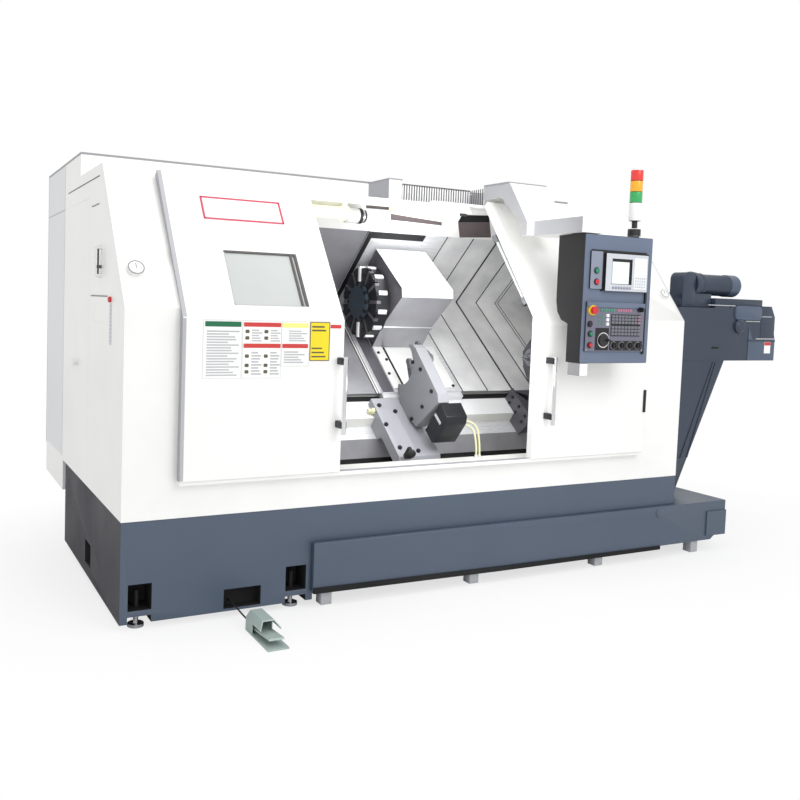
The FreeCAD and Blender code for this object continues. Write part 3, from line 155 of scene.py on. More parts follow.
MIDDLE = at(LENGTH / 2, 0.6, 1.1)
lamp("key_lamp", at(2.6, -5.0, 4.6), MIDDLE, 3.0, 110.0)
lamp("top_lamp", at(1.4, -0.5, 5.5), MIDDLE, 4.0, 60.0)
lamp("room_lamp", at(1.62, -0.20, 1.50), at(1.95, 1.2, 1.25), 0.9, 9.0)
lamp("tube_light", at(1.89, 0.565, 2.025), at(1.95, 1.0, 1.2), 0.35, 2.5)

# %% [markdown]
# Finishes.  Most start from what the real surface is; some are painted shade, painted highlight
# or painted reflection, and the notes over the table name them.  Powder coat is a dielectric
# with a faint orange peel; brushed or ground steel is a metal with streaks along the
# tool's path; castings are filled and painted, so they keep a soft unevenness.
# Patterns read Object coordinates, so a millimetre is a millimetre on every piece.
# %% Finishes
MILLIMETRE = 1000.0            # a noise scale of this many waves per metre is one per millimetre


def finish(name, colour, rough, metal=0.0, peel=0.02, peel_size=2.0, cloud=0.03, cloud_size=400.0,
           streak=0, coat=0.0, glow=0.0, clear=0.0):
    """A surface: colour varied by slow clouds, roughness and bump by fine noise.

    colour = colour * (1 +- cloud), roughness = rough * (1 +- 0.15), height = peel * noise.
    With a streak the fine noise is drawn out 60 times along x, for brushed metal.  glow is
    the light that it gives by itself, clear the share of light that goes through it."""
    made = bpy.data.materials.new(name)
    made.use_nodes = True
    tree = made.node_tree
    shader = tree.nodes["Principled BSDF"]
    where = add(tree, "TexCoord").outputs["Object"]
    fine = where
    if streak:
        fine = add(tree, "Mapping", {"Scale": (1.0 / 60.0, 1.0, 1.0)}, {"Vector": where}).outputs["Vector"]
    clouds = add(tree, "TexNoise", {"Scale": MILLIMETRE / cloud_size, "Detail": 3.0}, {"Vector": where})
    grain = add(tree, "TexNoise", {"Scale": MILLIMETRE / peel_size, "Detail": 2.0}, {"Vector": fine})
    base = np.array(linear(colour)[:3])
    ramp = add(tree, "MapRange", {"From Min": 0.3, "From Max": 0.7}, {"Value": clouds.outputs["Fac"]})
    shades = {6: (*(base * (1 - cloud)), 1.0), 7: (*np.minimum(base * (1 + cloud), 1.0), 1.0)}
    tone = add(tree, "Mix", shades, {0: ramp.outputs["Result"]}, data_type="RGBA")
    tree.links.new(tone.outputs[2], shader.inputs["Base Color"])
    gloss = add(tree, "MapRange", {"From Min": 0.3, "From Max": 0.7, "To Min": rough * 0.85,
                                   "To Max": min(rough * 1.15, 1.0)},
                {"Value": (grain if streak else clouds).outputs["Fac"]})
    tree.links.new(gloss.outputs["Result"], shader.inputs["Roughness"])
    bump = add(tree, "Bump", {"Strength": 0.3, "Distance": peel / MILLIMETRE},
               {"Height": grain.outputs["Fac"]})
    tree.links.new(bump.outputs["Normal"], shader.inputs["Normal"])
    shader.inputs["Metallic"].default_value = metal
    shader.inputs["Coat Weight"].default_value = coat
    shader.inputs["Transmission Weight"].default_value = clear
    if glow:
        shader.inputs["Emission Color"].default_value = linear(colour)
        shader.inputs["Emission Strength"].default_value = glow
    return made


# Columns: key, surface name, colour, roughness, the rest in millimetres or shares; then
# what it gives the eye.  Several are painted light and shade, not a surface's own colour:
# grey_white, edge_grey, edge_line and shade_grey are mostly white coat darkened as painted shade;
# base_end_coat is the base coat as painted shade, shaded_steel steel as painted shade, hollow
# painted shade in hollows and gaps, and the brown-grey one painted shade under the roof;
# conveyor_light is the conveyor paint lightened as painted light; rear_steel's strong clouds are
# painted soft reflections; glass is a pale, nearly opaque grey that stands for the pane's milky
# tint together with a painted reflection of the bright room.
FINISHES = """
white_coat white_powder_coat #F3F3F1 .34 peel=.05 coat=.15 | an even bright white with a faint orange peel
grey_white grey_white_powder_coat #DFE1E3 .38 peel=.05 | white sheet in half shade
edge_grey shaded_powder_coat #B3B4B8 .40 peel=.05 | a box's side that looks away from the light
edge_line edge_shadow_coat #96979B .5 peel=.05 | the thin grey of a fold or a top edge
shade_grey deep_shaded_powder_coat #A0A1A8 .42 peel=.05 | deeper shade on sills and door edges
base_end_coat dusty_base_coat #2A2932 .60 peel=.10 peel_size=3 cloud=.12 | dull near-black at the base's end
base_coat blue_grey_textured_coat #4B5768 .42 peel=.10 peel_size=3 cloud=.05 | calm blue-grey, finely rough
panel_coat panel_grey_blue_coat #667288 .38 peel=.05 | the pendant's lighter blue-grey
panel_light pale_panel_coat #8990A0 .38 peel=.05 | its small panel, a step paler
dark_coat dark_wrinkle_coat #1C1B1E .60 peel=.12 peel_size=3 | flat black with a fine wrinkle
conveyor_coat conveyor_blue_grey_enamel #313B4B .36 peel=.06 cloud=.07 | darker, smoother blue-grey
conveyor_light lit_conveyor_enamel #4C5A6E .34 peel=.06 cloud=.10 cloud_size=150 | its covers that catch light
casting painted_cast_iron #E2E2DE .42 peel=.25 peel_size=6 cloud=.05 | thick uneven white paint
grey_casting grey_painted_cast_iron #8C8D92 .45 peel=.35 peel_size=6 cloud=.08 | mid grey, softly uneven
dark_casting dark_machined_cast_iron #5A585F .45 metal=.2 peel=.2 cloud=.15 cloud_size=120 | oiled dark iron
sheet_steel ground_stainless_sheet #E6E7EA .30 metal=.35 peel=.015 streak=1 cloud=.12 | long streaks
rear_steel rear_stainless_sheet #F0F0F2 .33 metal=.18 peel=.01 streak=1 cloud=.16 cloud_size=260 | cloudy
front_steel bright_stainless_facet #F4F5F6 .30 metal=.15 peel=.01 cloud=.05 | nearly white metal
shaded_steel shaded_stainless_facet #A3A3A9 .34 metal=.35 peel=.01 streak=1 cloud=.12 cloud_size=200 | greyer
end_steel dull_steel_end #67656B .42 metal=.3 peel=.02 cloud=.15 cloud_size=150 | dull dark end faces
turned_steel turned_steel #9A9CA2 .26 metal=.9 peel=.03 cloud=.08 | clean turned metal
black_steel black_oxide_steel #26272B .35 metal=.5 peel=.05 | satin black with a metal glint
chrome polished_chrome_tube #E8E9EB .10 metal=1 peel=0 cloud=.02 | mirror-like tube
zinc zinc_plated_steel #B4B6BA .30 metal=.9 peel=.04 cloud=.10 cloud_size=30 | mottled bright grey
black_rubber black_rubber #1B1B1D .62 peel=.10 | dull black
black_plastic black_moulded_plastic #222226 .38 peel=.06 peel_size=1.5 | black with soft gloss
grey_plastic light_grey_moulded_plastic #C9CDD4 .36 peel=.04 | cool light grey
switch_enamel grey_green_enamel #A6B5B0 .40 peel=.08 | the foot switch's grey-green
gasket dark_grey_gasket #585455 .55 peel=.05 | warm dark grey
mauve_panel mauve_grey_film #6F6F80 .42 peel=.02 | matt mauve-grey
slate_key slate_grey_key_caps #6E7079 .40 peel=.02 | grey keys
green_key grey_green_key_caps #4F8A78 .38 peel=.02 | dusty green keys
pink_key dusty_pink_key_caps #B0738A .38 peel=.02 | dusty pink keys
red_plastic red_plastic #C8202E .25 coat=.4 | glossy red
green_plastic green_plastic #1E7F5C .25 coat=.4 | glossy green
yellow_plastic yellow_plastic #E9C62B .30 coat=.3 | glossy yellow
yellow_hose pale_yellow_hose #D8D6AE .35 peel=.03 | pale milky yellow
white_plastic white_plastic #ECEDEE .35 | plain white
card_white printed_white_film #F4F5F3 .45 peel=.01 | paper white
sign_red sign_red_film #C9405A .45 peel=.01 | pinkish red
hub_blue blue_black_cap #2F3C49 .40 peel=.05 | blue-black
brown_gap brown_grey_gap #5A5052 .60 peel=.05 cloud=.15 | brownish depth under the roof
card_green printed_green_film #0E6A45 .45 peel=.01 | deep green
card_red printed_red_film #CB3A36 .45 peel=.01 | warm red
card_pale_yellow printed_pale_yellow_film #F1EE8C .45 peel=.01 | pale yellow
card_yellow printed_yellow_film #F2D91E .45 peel=.01 | strong yellow
card_ink printed_grey_ink #B9BBBE .5 peel=.01 | small print seen from afar
card_dark printed_dark_ink #5B5640 .5 peel=.01 | olive black
hollow unlit_hollow #0B0C0F .8 peel=.05 | no light comes back
red_lens red_lens #D8342C .25 coat=.3 glow=.15 | clear red with a little light
amber_lens amber_lens #E6A422 .25 coat=.3 glow=.15 | clear amber
green_lens green_lens #2E9E56 .25 coat=.3 glow=.15 | clear green
screen pale_screen #DDEBE4 .25 coat=.3 glow=.25 | pale lit display
lamp_tube lamp_tube #F2EFC8 .25 coat=.3 glow=.8 | warm lit tube
glass smoked_safety_glass #C7CBC9 .10 peel=0 coat=.2 clear=.12 | pale film, little shows through
"""
FINISH = {}
for line in FINISHES.strip().splitlines():
    key, name, colour, rough, *rest = line.split("|")[0].split()
    extra = {word: float(value) for word, value in (pair.split("=") for pair in rest)}
    FINISH[key] = finish(name, colour, float(rough), **extra)
print(len(FINISH), "finishes")

# %% [markdown]
# The imported nodes keep their shape and take a finish each.  A second table groups the
# finishes under slot names.
# %% Finish of every imported node
NODE_FINISH = """
white_coat front_guard left_end_wall right_end_wall top_guard electrical_cabinet cabinet_door
white_coat left_door right_door cable_box pendant_hood
base_coat base_plinth coolant_tank
conveyor_coat conveyor_trough conveyor_head conveyor_motor
zinc levelling_feet
casting bed_casting headstock
dark_casting tailstock
sheet_steel cross_slide carriage steady_carrier
rear_steel end_covers right_cover_1 right_cover_2 right_cover_3
shaded_steel left_cover
turned_steel spindle chuck jaw_1 jaw_2 jaw_3 quill steady_arm_upper steady_arm_lower conveyor_drum
grey_casting steady_body
black_steel steady_cylinder turret_disc
chrome left_handle right_handle
black_plastic energy_chain key_switch handwheel
black_plastic override_knob_1 override_knob_2 override_knob_3 override_knob_4
dark_coat pendant_housing control_panel
green_plastic start_button
red_plastic stop_button emergency_stop
white_plastic signal_tower
switch_enamel foot_switch foot_pedal
lamp_tube work_lamps
glass window_pane
black_rubber foot_cable
yellow_hose steady_hoses
"""
unpainted = set(nodes)
for kind, *names in table(NODE_FINISH):
    unpainted -= set(names)
    for name in names:
        nodes[name].data.materials.clear()
        nodes[name].data.materials.append(FINISH[kind])
RECORD_SLOTS = """
white_sheet white_coat grey_white edge_grey shade_grey
base_paint base_coat
conveyor_paint conveyor_coat conveyor_light
pendant_paint dark_coat
panel_grey panel_coat panel_light grey_plastic
casting casting grey_casting dark_casting
machined turned_steel zinc end_steel
cover_steel sheet_steel rear_steel
chromed chrome
black black_rubber black_plastic hollow black_steel
pane glass
red red_plastic
green green_plastic
foot_paint switch_enamel
hose yellow_hose
lamp lamp_tube
lamp_stack red_lens amber_lens green_lens white_plastic
"""
SLOT = {kind: slot for slot, *kinds in table(RECORD_SLOTS) for kind in kinds}
print("nodes without a finish:", sorted(unpainted))

# %% [markdown]
# New pieces are skins worked out with numpy.  A skin is a stack of rings, each ring the
# same number of points; quads join a ring to the next and flat caps close the ends.
# Plates, bars, turned pieces and bent strips are all such stacks.
# %% Skins
def unit(vector):
    """The direction of a vector: vector / length."""
    vector = np.asarray(vector, float)
    return vector / np.linalg.norm(vector)


def loft(rings, closed=False):
    """Skin over rings[r, k]: quad (r,k) (r,k+1) (r+1,k+1) (r+1,k); caps at both ends, or joined round."""
    rings = np.asarray(rings, float)
    rows, count = rings.shape[:2]
    index = np.arange(rows * count).reshape(rows, count)
    beside = np.roll(index, -1, axis=1)
    if closed:
        over, over_beside = np.roll(index, -1, axis=0), np.roll(beside, -1, axis=0)
        quads = np.stack([index, beside, over_beside, over], axis=-1)
        return rings.reshape(-1, 3), quads.reshape(-1, 4).tolist()
    quads = np.stack([index[:-1], beside[:-1], beside[1:], index[1:]], axis=-1)
    caps = [index[0, ::-1].tolist(), index[-1].tolist()]
    return rings.reshape(-1, 3), quads.reshape(-1, 4).tolist() + caps


class Plane:
    """A flat place on the machine: a corner and the directions across, up and out of it."""

    def __init__(self, corner, across=(1, 0, 0), up=(0, 0, 1)):
        self.corner = np.asarray(corner, float)
        self.across = unit(across)
        self.up = unit(up)
        self.out = np.cross(self.across, self.up)

    def place(self, outline, out):
        """corner + a * across + b * up + out * outwards, for every (a, b) of the outline."""
        outline = np.asarray(outline, float)
        flat = outline[:, :1] * self.across + outline[:, 1:2] * self.up
        return self.corner + flat + out * self.out

    def spot(self, a, b, out=0.0):
        """The same for one point."""
        return self.place([(a, b)], out)[0]


def rectangle(a, b, corner=0.0, steps=4):
    """Outline between limits a and b, counter-clockwise, its corners quarter circles."""
    if corner <= 0:
        return np.array([(a[0], b[0]), (a[1], b[0]), (a[1], b[1]), (a[0], b[1])])
    quarter = np.linspace(0, np.pi / 2, steps + 1)
    centres = np.array([(a[1], b[1]), (a[0], b[1]), (a[0], b[0]), (a[1], b[0])], float)
    centres += corner * np.array([(-1, -1), (1, -1), (1, 1), (-1, 1)])
    angles = np.arange(4)[:, None] * np.pi / 2 + quarter
    round_part = corner * np.stack([np.cos(angles), np.sin(angles)], axis=-1)
    return (centres[:, None, :] + round_part).reshape(-1, 2)


def circle(a, b, radius, count=32):
    """Outline (a + radius cos t, b + radius sin t)."""
    turn = np.linspace(0, 2 * np.pi, count, endpoint=False)
    return np.stack([a + radius * np.cos(turn), b + radius * np.sin(turn)], axis=-1)


def inset(outline, distance):
    """Outline moved inwards: each point along (n1 + n2) / (1 + n1.n2), its two edges' normals."""
    edge = np.roll(outline, -1, axis=0) - outline
    edge = edge / np.linalg.norm(edge, axis=1, keepdims=True)
    normal = np.stack([edge[:, 1], -edge[:, 0]], axis=-1)
    before = np.roll(normal, 1, axis=0)
    share = (normal + before) / (1 + (normal * before).sum(axis=1, keepdims=True))
    return outline - distance * share


def plate(plane, outline, low, high, edge=0.0):
    """Plate from `low` to `high` over a plane; its outer edge is a quarter round of radius `edge`."""
    outline = np.asarray(outline, float)
    rings = [plane.place(outline, low)]
    if edge > 0:
        for turn in (0.0, math.pi / 4, math.pi / 2):
            ring = inset(outline, edge * (1 - math.cos(turn)) + 1e-6)
            rings.append(plane.place(ring, high - edge * (1 - math.sin(turn))))
    else:
        rings.append(plane.place(outline, high))
    return loft(rings)


def frame_strip(plane, outline, width, low, high):
    """Closed strip that follows an outline: its section is width by height, carried round."""
    inner = inset(outline, width)
    rings = [plane.place(outline, low), plane.place(outline, high), plane.place(inner, high),
             plane.place(inner, low)]
    return loft(rings, closed=True)


def turned(start, direction, profile, count=40, closed=False):
    """Piece turned on an axis; profile rows (along, radius): start + along*axis + radius*(cos, sin)."""
    axis = unit(direction)
    side = unit(np.cross(axis, [0, 0, 1] if abs(axis[2]) < 0.9 else [1, 0, 0]))
    other = np.cross(axis, side)
    turn = np.linspace(0, 2 * np.pi, count, endpoint=False)[:, None]
    around = np.cos(turn) * side + np.sin(turn) * other
    profile = np.asarray(profile, float)
    rings = np.asarray(start) + profile[:, :1, None] * axis + profile[:, 1:, None] * around
    return loft(rings, closed)


def screw_head(plane, a, b, size, low, height):
    """Socket screw head: a short round stud with a chamfer, 24 sides."""
    rim = size * 0.12
    profile = [(0, size), (height - rim, size), (height, size - rim)]
    return turned(plane.spot(a, b, low), plane.out, profile, 24)


FRAME_BODY = "machine_frame"
SMOOTH_BELOW = math.radians(35.0)


def show(name, skins, kind, body=FRAME_BODY, replaces=()):
    """Makes one named piece out of skins, gives it its finish and lets it ride on a body."""
    shift = np.cumsum([0] + [len(points) for points, _ in skins])
    points = np.vstack([points for points, _ in skins])
    faces = [[k + int(move) for k in face] for (_, some), move in zip(skins, shift) for face in some]
    mesh = bpy.data.meshes.new(name)
    mesh.from_pydata(points.tolist(), [], faces)
    mesh.polygons.foreach_set("use_smooth", np.ones(len(mesh.polygons), bool))
    mesh.set_sharp_from_angle(angle=SMOOTH_BELOW)
    mesh.materials.append(FINISH[kind])
    piece = bpy.data.objects.new(name, mesh)
    scene.collection.objects.link(piece)
    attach(piece, body)
    if replaces:
        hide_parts(*replaces)
    return piece


def fields(name, kind, plane, low, high, *boxes, body=FRAME_BODY, corner=0.0, edge=0.0):
    """One piece of flat rectangles on a plane, each given by its limits (a, a, b, b)."""
    return show(name, [plate(plane, rectangle(box[:2], box[2:], corner), low, high, edge) for box in boxes],
                kind, body)


# %% [markdown]
# Folded sheet has no sharp corners: the outer radius of a bend is about the sheet's
# thickness.  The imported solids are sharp, so a merged copy of each big shell gets a
# small bevel on every fold and stands for the node.
# %% Rounded folds
def rounded_copy(node, kind, width, body):
    """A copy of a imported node: corners merged, flat triangles joined, edges over 30 degrees rounded."""
    mesh = nodes[node].data.copy()
    mesh.name = node + "_folded"
    work = bmesh.new()
    work.from_mesh(mesh)
    bmesh.ops.remove_doubles(work, verts=work.verts, dist=2e-6)
    bmesh.ops.dissolve_limit(work, angle_limit=math.radians(0.5), verts=work.verts, edges=work.edges)
    work.to_mesh(mesh)
    work.free()
    mesh.materials.clear()
    mesh.materials.append(FINISH[kind])
    mesh.polygons.foreach_set("use_smooth", np.ones(len(mesh.polygons), bool))
    mesh.set_sharp_from_angle(angle=math.radians(50))
    piece = bpy.data.objects.new(node + "_folded", mesh)
    scene.collection.objects.link(piece)
    bevel = piece.modifiers.new("fold", "BEVEL")
    bevel.width = width
    bevel.segments = 2
    bevel.limit_method = "ANGLE"
    bevel.angle_limit = math.radians(30)
    bevel.use_clamp_overlap = True
    bevel.harden_normals = False
    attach(piece, body)
    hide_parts(node)
    return piece


def repaint(node, kind, chosen):
    """Gives a second finish to the faces that `chosen` picks by centre (from the corner) and normal."""
    piece = folded[node]
    polygons = piece.data.polygons
    centres, normals = np.empty(3 * len(polygons)), np.empty(3 * len(polygons))
    polygons.foreach_get("center", centres)
    polygons.foreach_get("normal", normals)
    numbers = np.zeros(len(polygons), dtype=np.int32)
    polygons.foreach_get("material_index", numbers)
    numbers[chosen(centres.reshape(-1, 3) - CORNER, normals.reshape(-1, 3))] = len(piece.data.materials)
    piece.data.materials.append(FINISH[kind])
    polygons.foreach_set("material_index", numbers)


# Columns: node, finish, bend radius in metres, body.
FOLDS = """
front_guard white_coat .0015 machine_frame
left_door white_coat .0015 left_door
right_door white_coat .0015 right_door
cable_box white_coat .003 machine_frame
pendant_hood white_coat .0015 pendant_carriage
pendant_housing dark_coat .004 pendant
base_plinth base_coat .003 machine_frame
coolant_tank base_coat .003 machine_frame
cross_slide sheet_steel .003 cross_slide
steady_cylinder black_steel .004 machine_frame
steady_carrier shade_grey .003 machine_frame
end_covers rear_steel .001 machine_frame
tailstock dark_casting .003 tailstock
levelling_feet zinc .0008 machine_frame
headstock casting .004 machine_frame
conveyor_trough conveyor_coat .0015 machine_frame
"""
folded = {row[0]: rounded_copy(*row) for row in table(FOLDS)}
print("rounded shells made")

# %% [markdown]
# Painted shade and highlight: faces that the light leaves dark take a darker finish as painted
# shade, and one facet that faces the light takes a near-white one as a painted highlight.  The
# shade goes on the left ends of the base, left door, cable box, hood and turret housing, the
# housing's down-facing facet, the left end covers, the pendant housing's underside, the sill under
# the front guard, the tank's foot and the inside of the jack pockets with the feet's tops in them;
# the highlight goes on the turret housing's front-facing facet.
# %% Second finishes: painted shade and highlight
SLOPE = math.radians(40.0)
down_slope = np.array([0.0, -math.cos(SLOPE), -math.sin(SLOPE)])
off_slope = np.array([0.0, -math.sin(SLOPE), math.cos(SLOPE)])


def faces_left(place, facing):
    """Faces that look to the left, with a normal x under -0.9."""
    return facing[:, 0] < -0.9


def in_pockets(place, facing):
    """Faces inside the jack pockets and the cable window, behind the outer skin."""
    x, y, z = place.T
    skin = 0.004
    front = (y > skin) & (y < 0.125) & (x > skin) & (x < 0.93)
    side = (x > skin) & (x < 0.125) & (y > 0.6) & (y < 0.83)
    return (front | side) & (z > 0.040) & (z < 0.215)


def below(height):
    """Chooses the faces whose middle is lower than a height."""
    return lambda place, facing: place[:, 2] < height


# Painted shade: the base's left end, which faces away from the light, takes a near-black coat.
repaint("base_plinth", "base_end_coat", faces_left)
# Painted shade: the inside of the jack pockets and the cable window, and the tops of the feet in them, are
# black.
repaint("base_plinth", "hollow", in_pockets)
repaint("levelling_feet", "hollow", lambda place, facing: place[:, 2] > 0.093)
# Painted shade: faces looking left on the left door, the cable box and the hood take grey.
repaint("left_door", "shade_grey", lambda place, facing: faces_left(place, facing) & (place[:, 0] < 0.26))
repaint("cable_box", "shade_grey", faces_left)
repaint("pendant_hood", "edge_grey", faces_left)
# The turret housing: its down-facing facet and its left end take darker steel as painted shade, and its
# front-facing facet near-white steel as a painted highlight.
repaint("cross_slide", "shaded_steel", lambda place, facing: facing @ down_slope > 0.9)
repaint("cross_slide", "end_steel", faces_left)
repaint("cross_slide", "front_steel",
        lambda place, facing: (facing @ down_slope > 0.3) & (facing @ off_slope > 0.3))
# Painted shade: the pendant housing below 1.222 m, the sill's upward faces under the front guard, the left
# end covers and the tank's lowest faces take greyer finishes.
repaint("pendant_housing", "edge_line", below(1.222))
repaint("front_guard", "shade_grey", lambda place, facing: (facing[:, 2] > 0.9) & (place[:, 2] < 0.82))
repaint("end_covers", "shaded_steel", lambda place, facing: place[:, 0] < 1.5)
repaint("coolant_tank", "edge_grey", below(0.076))
print("second finishes given")

# %% [markdown]
# The places that carry the small things: door faces, the slanted slideways, the pendant's
# face, the base's front and the left wall.  The slope and the lean are read off the
# machine's side profile.
# %% Places on the machine
DOOR_FACE = 0.050              # door skin in front of the base
DOOR_BEND = 1.418
DOOR_TOP = (0.444, 2.131)      # y and z of the leaning part's top edge
VERTEX = (1.250, 1.535)        # y and z of the line where the covers fold
door_flat = Plane(at(0, -DOOR_FACE, 0))
door_lean = Plane(at(0, -DOOR_FACE, DOOR_BEND), up=(0, DOOR_TOP[0] + DOOR_FACE, DOOR_TOP[1] - DOOR_BEND))
LEAN_LENGTH = math.hypot(DOOR_TOP[0] + DOOR_FACE, DOOR_TOP[1] - DOOR_BEND)
slant = Plane(at(0, *VERTEX), up=(0, math.cos(SLOPE), math.sin(SLOPE)))
left_wall = Plane(at(0, 0, 0), (0, -1, 0))


def lean_at(height):
    """Distance up the leaning door face at a height above the floor."""
    return (height - DOOR_BEND) / (DOOR_TOP[1] - DOOR_BEND) * LEAN_LENGTH


def slope_end(x):
    """The plane that faces left at x: across goes down the slope, up goes off it."""
    return Plane(at(x, *VERTEX), down_slope, off_slope)


# %% [markdown]
# Window: pale safety glass.  Its opening shows a dark cut edge above, two dark gasket lips
# inside the right edge, and only a thin grey line at the left and below.
# %% Window seal
LEFT, RIGHT = 0.507, 0.886
LOW, HIGH = lean_at(1.480), lean_at(1.737)
LIP = 0.0022                   # how far the gasket stands out of the door skin
opening = rectangle((LEFT, RIGHT), (LOW, HIGH), 0.012)
show("window_line", [frame_strip(door_lean, opening, 0.003, -0.004, 0.0012)], "card_ink", "left_door")
lips = [rectangle((LEFT - 0.001, RIGHT + 0.001), (HIGH - 0.010, HIGH + 0.001), 0.004),
        rectangle((RIGHT - 0.013, RIGHT + 0.001), (LOW + 0.002, HIGH), 0.003),
        rectangle((RIGHT - 0.036, RIGHT - 0.025), (LOW + 0.002, HIGH - 0.006), 0.001)]
show("window_lips", [plate(door_lean, outline, -0.003, LIP + 0.0002 * k) for k, outline in enumerate(lips)],
     "gasket", "left_door")
print("window", round(RIGHT - LEFT, 3), "m wide")

# %% [markdown]
# Sign plate and printed cards on the left door.  They are bare colour fields with rows of
# plain bars, because the machine carries no name and no words.
# %% Sign plate and cards
SIGN = rectangle((0.438, 0.870), (lean_at(1.888), lean_at(2.010)), 0.006)
show("sign_plate", [plate(door_lean, SIGN, 0.0, 0.002, 0.0008)], "card_white", "left_door")
show("sign_border", [frame_strip(door_lean, inset(SIGN, 0.002), 0.011, 0.002, 0.0026)], "sign_red",
     "left_door")
FILM = 0.0006
# Columns: name, finish, limits along x, limits in height, thickness in films.
CARDS = """
card_left card_white .343 .529 1.143 1.410 1
card_middle card_white .533 .727 1.143 1.410 1
card_right card_white .728 .872 1.198 1.410 1
card_far card_white .984 1.046 1.32 1.404 1
card_left_header card_green .352 .525 1.380 1.404 1.6
card_middle_header card_red .538 .724 1.382 1.402 1.6
card_middle_band card_red .538 .724 1.284 1.304 1.6
card_right_header card_pale_yellow .730 .866 1.380 1.402 1.6
card_right_band card_red .732 .866 1.284 1.304 1.6
card_far_header card_red .984 1.042 1.380 1.398 1.6
card_yellow_plate card_yellow .875 .981 1.223 1.410 1.2
"""
for name, kind, *box, films in table(CARDS):
    fields(name, kind, door_flat, 0.0, films * FILM, box, body="left_door", corner=0.003)


def card_frames(name, kind, boxes, width, films):
    """Printed outlines round cards, rounded like them."""
    show(name, [frame_strip(door_flat, rectangle(box[:2], box[2:], 0.003), width, 0.0, films * FILM)
                for box in boxes], kind, "left_door")


card_frames("card_outlines", "card_ink", [(0.343, 0.529, 1.143, 1.410), (0.533, 0.727, 1.143, 1.410),
                                          (0.728, 0.872, 1.198, 1.410)], 0.0012, 1.3)
card_frames("card_yellow_border", "card_dark", [(0.875, 0.981, 1.223, 1.410)], 0.004, 2.0)
# Columns: name, finish, limits along x and in height, rows, filled share of a row, films.
PRINT = """
card_left_rows card_ink .360 .518 1.155 1.368 17 .55 1.6
card_middle_rows_low card_ink .578 .630 1.159 1.272 8 .55 1.6
card_middle_rows_high card_ink .578 .630 1.314 1.374 5 .55 1.6
card_middle_rows_low_2 card_ink .672 .722 1.159 1.272 8 .55 1.6
card_middle_rows_high_2 card_ink .672 .722 1.314 1.374 5 .55 1.6
card_right_rows_low card_ink .742 .850 1.213 1.274 5 .55 1.6
card_right_rows_high card_ink .765 .860 1.316 1.372 5 .55 1.6
card_yellow_rows card_dark .885 .965 1.240 1.300 3 .35 2
card_yellow_rows_high card_dark .885 .965 1.365 1.400 2 .45 2
"""
for name, kind, start, end, foot, top, rows, fill, films in table(PRINT):
    pitch = (top - foot) / rows
    lengths = (end - start) * (0.82 + 0.18 * np.sin(2.4 * np.arange(int(rows)) + 0.7))
    bars = [(start, start + length, foot + r * pitch, foot + (r + fill) * pitch)
            for r, length in enumerate(lengths)]
    fields(name, kind, door_flat, 0.0, films * FILM, *bars, body="left_door")
marks = [(x, x + 0.020, z, z + 0.016) for x in (0.546, 0.640) for z in (1.165, 1.195, 1.238, 1.322, 1.352)]
fields("card_pictograms", "card_dark", door_flat, 0.0, FILM * 1.7, *marks, body="left_door", corner=0.005)
print("cards made")

# %% [markdown]
# Door hardware: black handle brackets and the dark bar by the right door.
# %% Door hardware
for name, node, body in (("left_handle_brackets", "left_handle", "left_door"),
                         ("right_handle_brackets", "right_handle", "right_door")):
    middle = sum(span(node, "x")) / 2
    bottom, top = span(node, "z")
    brackets = [(middle - 0.015, middle + 0.015, z - 0.017, z + 0.017) for z in (bottom + 0.046, top - 0.024)]
    fields(name, "black_plastic", door_flat, 0.0, 0.064, *brackets, body=body, corner=0.004, edge=0.003)
fields("right_door_bumper", "black_rubber", door_flat, 0.0, 0.0085,
       (LENGTH - 0.366, LENGTH - 0.349, 0.913, 1.046), body="right_door", corner=0.003, edge=0.002)

# %% [markdown]
# Gauges on the leaning guard: a thin bezel, a white dial and a short pointer.
# %% Gauges
GUARD_BEND = 1.460
ROOF_EDGE = (0.518, 2.150)
guard_lean = Plane(at(0, 0, GUARD_BEND), up=(0, ROOF_EDGE[0], ROOF_EDGE[1] - GUARD_BEND))


def gauge(name, x, height, radius, rim):
    """Round dial: collar, bezel ring, white face, pointer and ticks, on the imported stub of 22 mm."""
    up = (height - GUARD_BEND) / guard_lean.up[2]
    collar = frame_strip(guard_lean, circle(x, up, radius + 0.0005, 40), 0.008, 0.0, 0.0216)
    show(name + "_collar", [collar], "white_coat")
    bezel = frame_strip(guard_lean, circle(x, up, radius + 0.0007, 40), 0.006, 0.0200, 0.0228)
    show(name + "_bezel", [bezel], rim)
    show(name + "_dial", [plate(guard_lean, circle(x, up, radius - 0.006, 32), 0.0218, 0.0223)], "card_white")
    pointer = rectangle((x - 0.0015, x + 0.0015), (up - 0.004, up + radius * 0.6))
    ticks = [plate(guard_lean, circle(x + math.sin(turn) * radius * 0.62, up + math.cos(turn) * radius * 0.62,
                                      0.0016, 6), 0.0222, 0.0226) for turn in np.linspace(-2.2, 2.2, 9)]
    show(name + "_marks", [plate(guard_lean, pointer, 0.0222, 0.0228)] + ticks, "black_plastic")


gauge("left_gauge", 0.074, 1.623, 0.038, "edge_line")
gauge("right_gauge", LENGTH - 0.072, 1.613, 0.030, "edge_grey")

# %% [markdown]
# Left wall: black grab handle, red push button on a grey label, panel seams, dark fields over the
# slits as painted shade, the rear panel in painted half shade, and a grey strip of painted shade
# down the left door's edge.
# %% Left wall
PULL_Y, PULL_Z = 0.506, (1.593, 1.744)
grip = plate(left_wall, rectangle((-PULL_Y - 0.004, -PULL_Y + 0.004), PULL_Z, 0.003), 0.012, 0.020, 0.002)
posts = [plate(left_wall, rectangle((-PULL_Y - 0.007, -PULL_Y + 0.007), (z, z + 0.016), 0.003),
               0.0, 0.022, 0.002)
         for z in (PULL_Z[0] - 0.001, PULL_Z[0] + 0.042, PULL_Z[1] - 0.015)]
show("side_pull", [grip] + posts, "gasket")
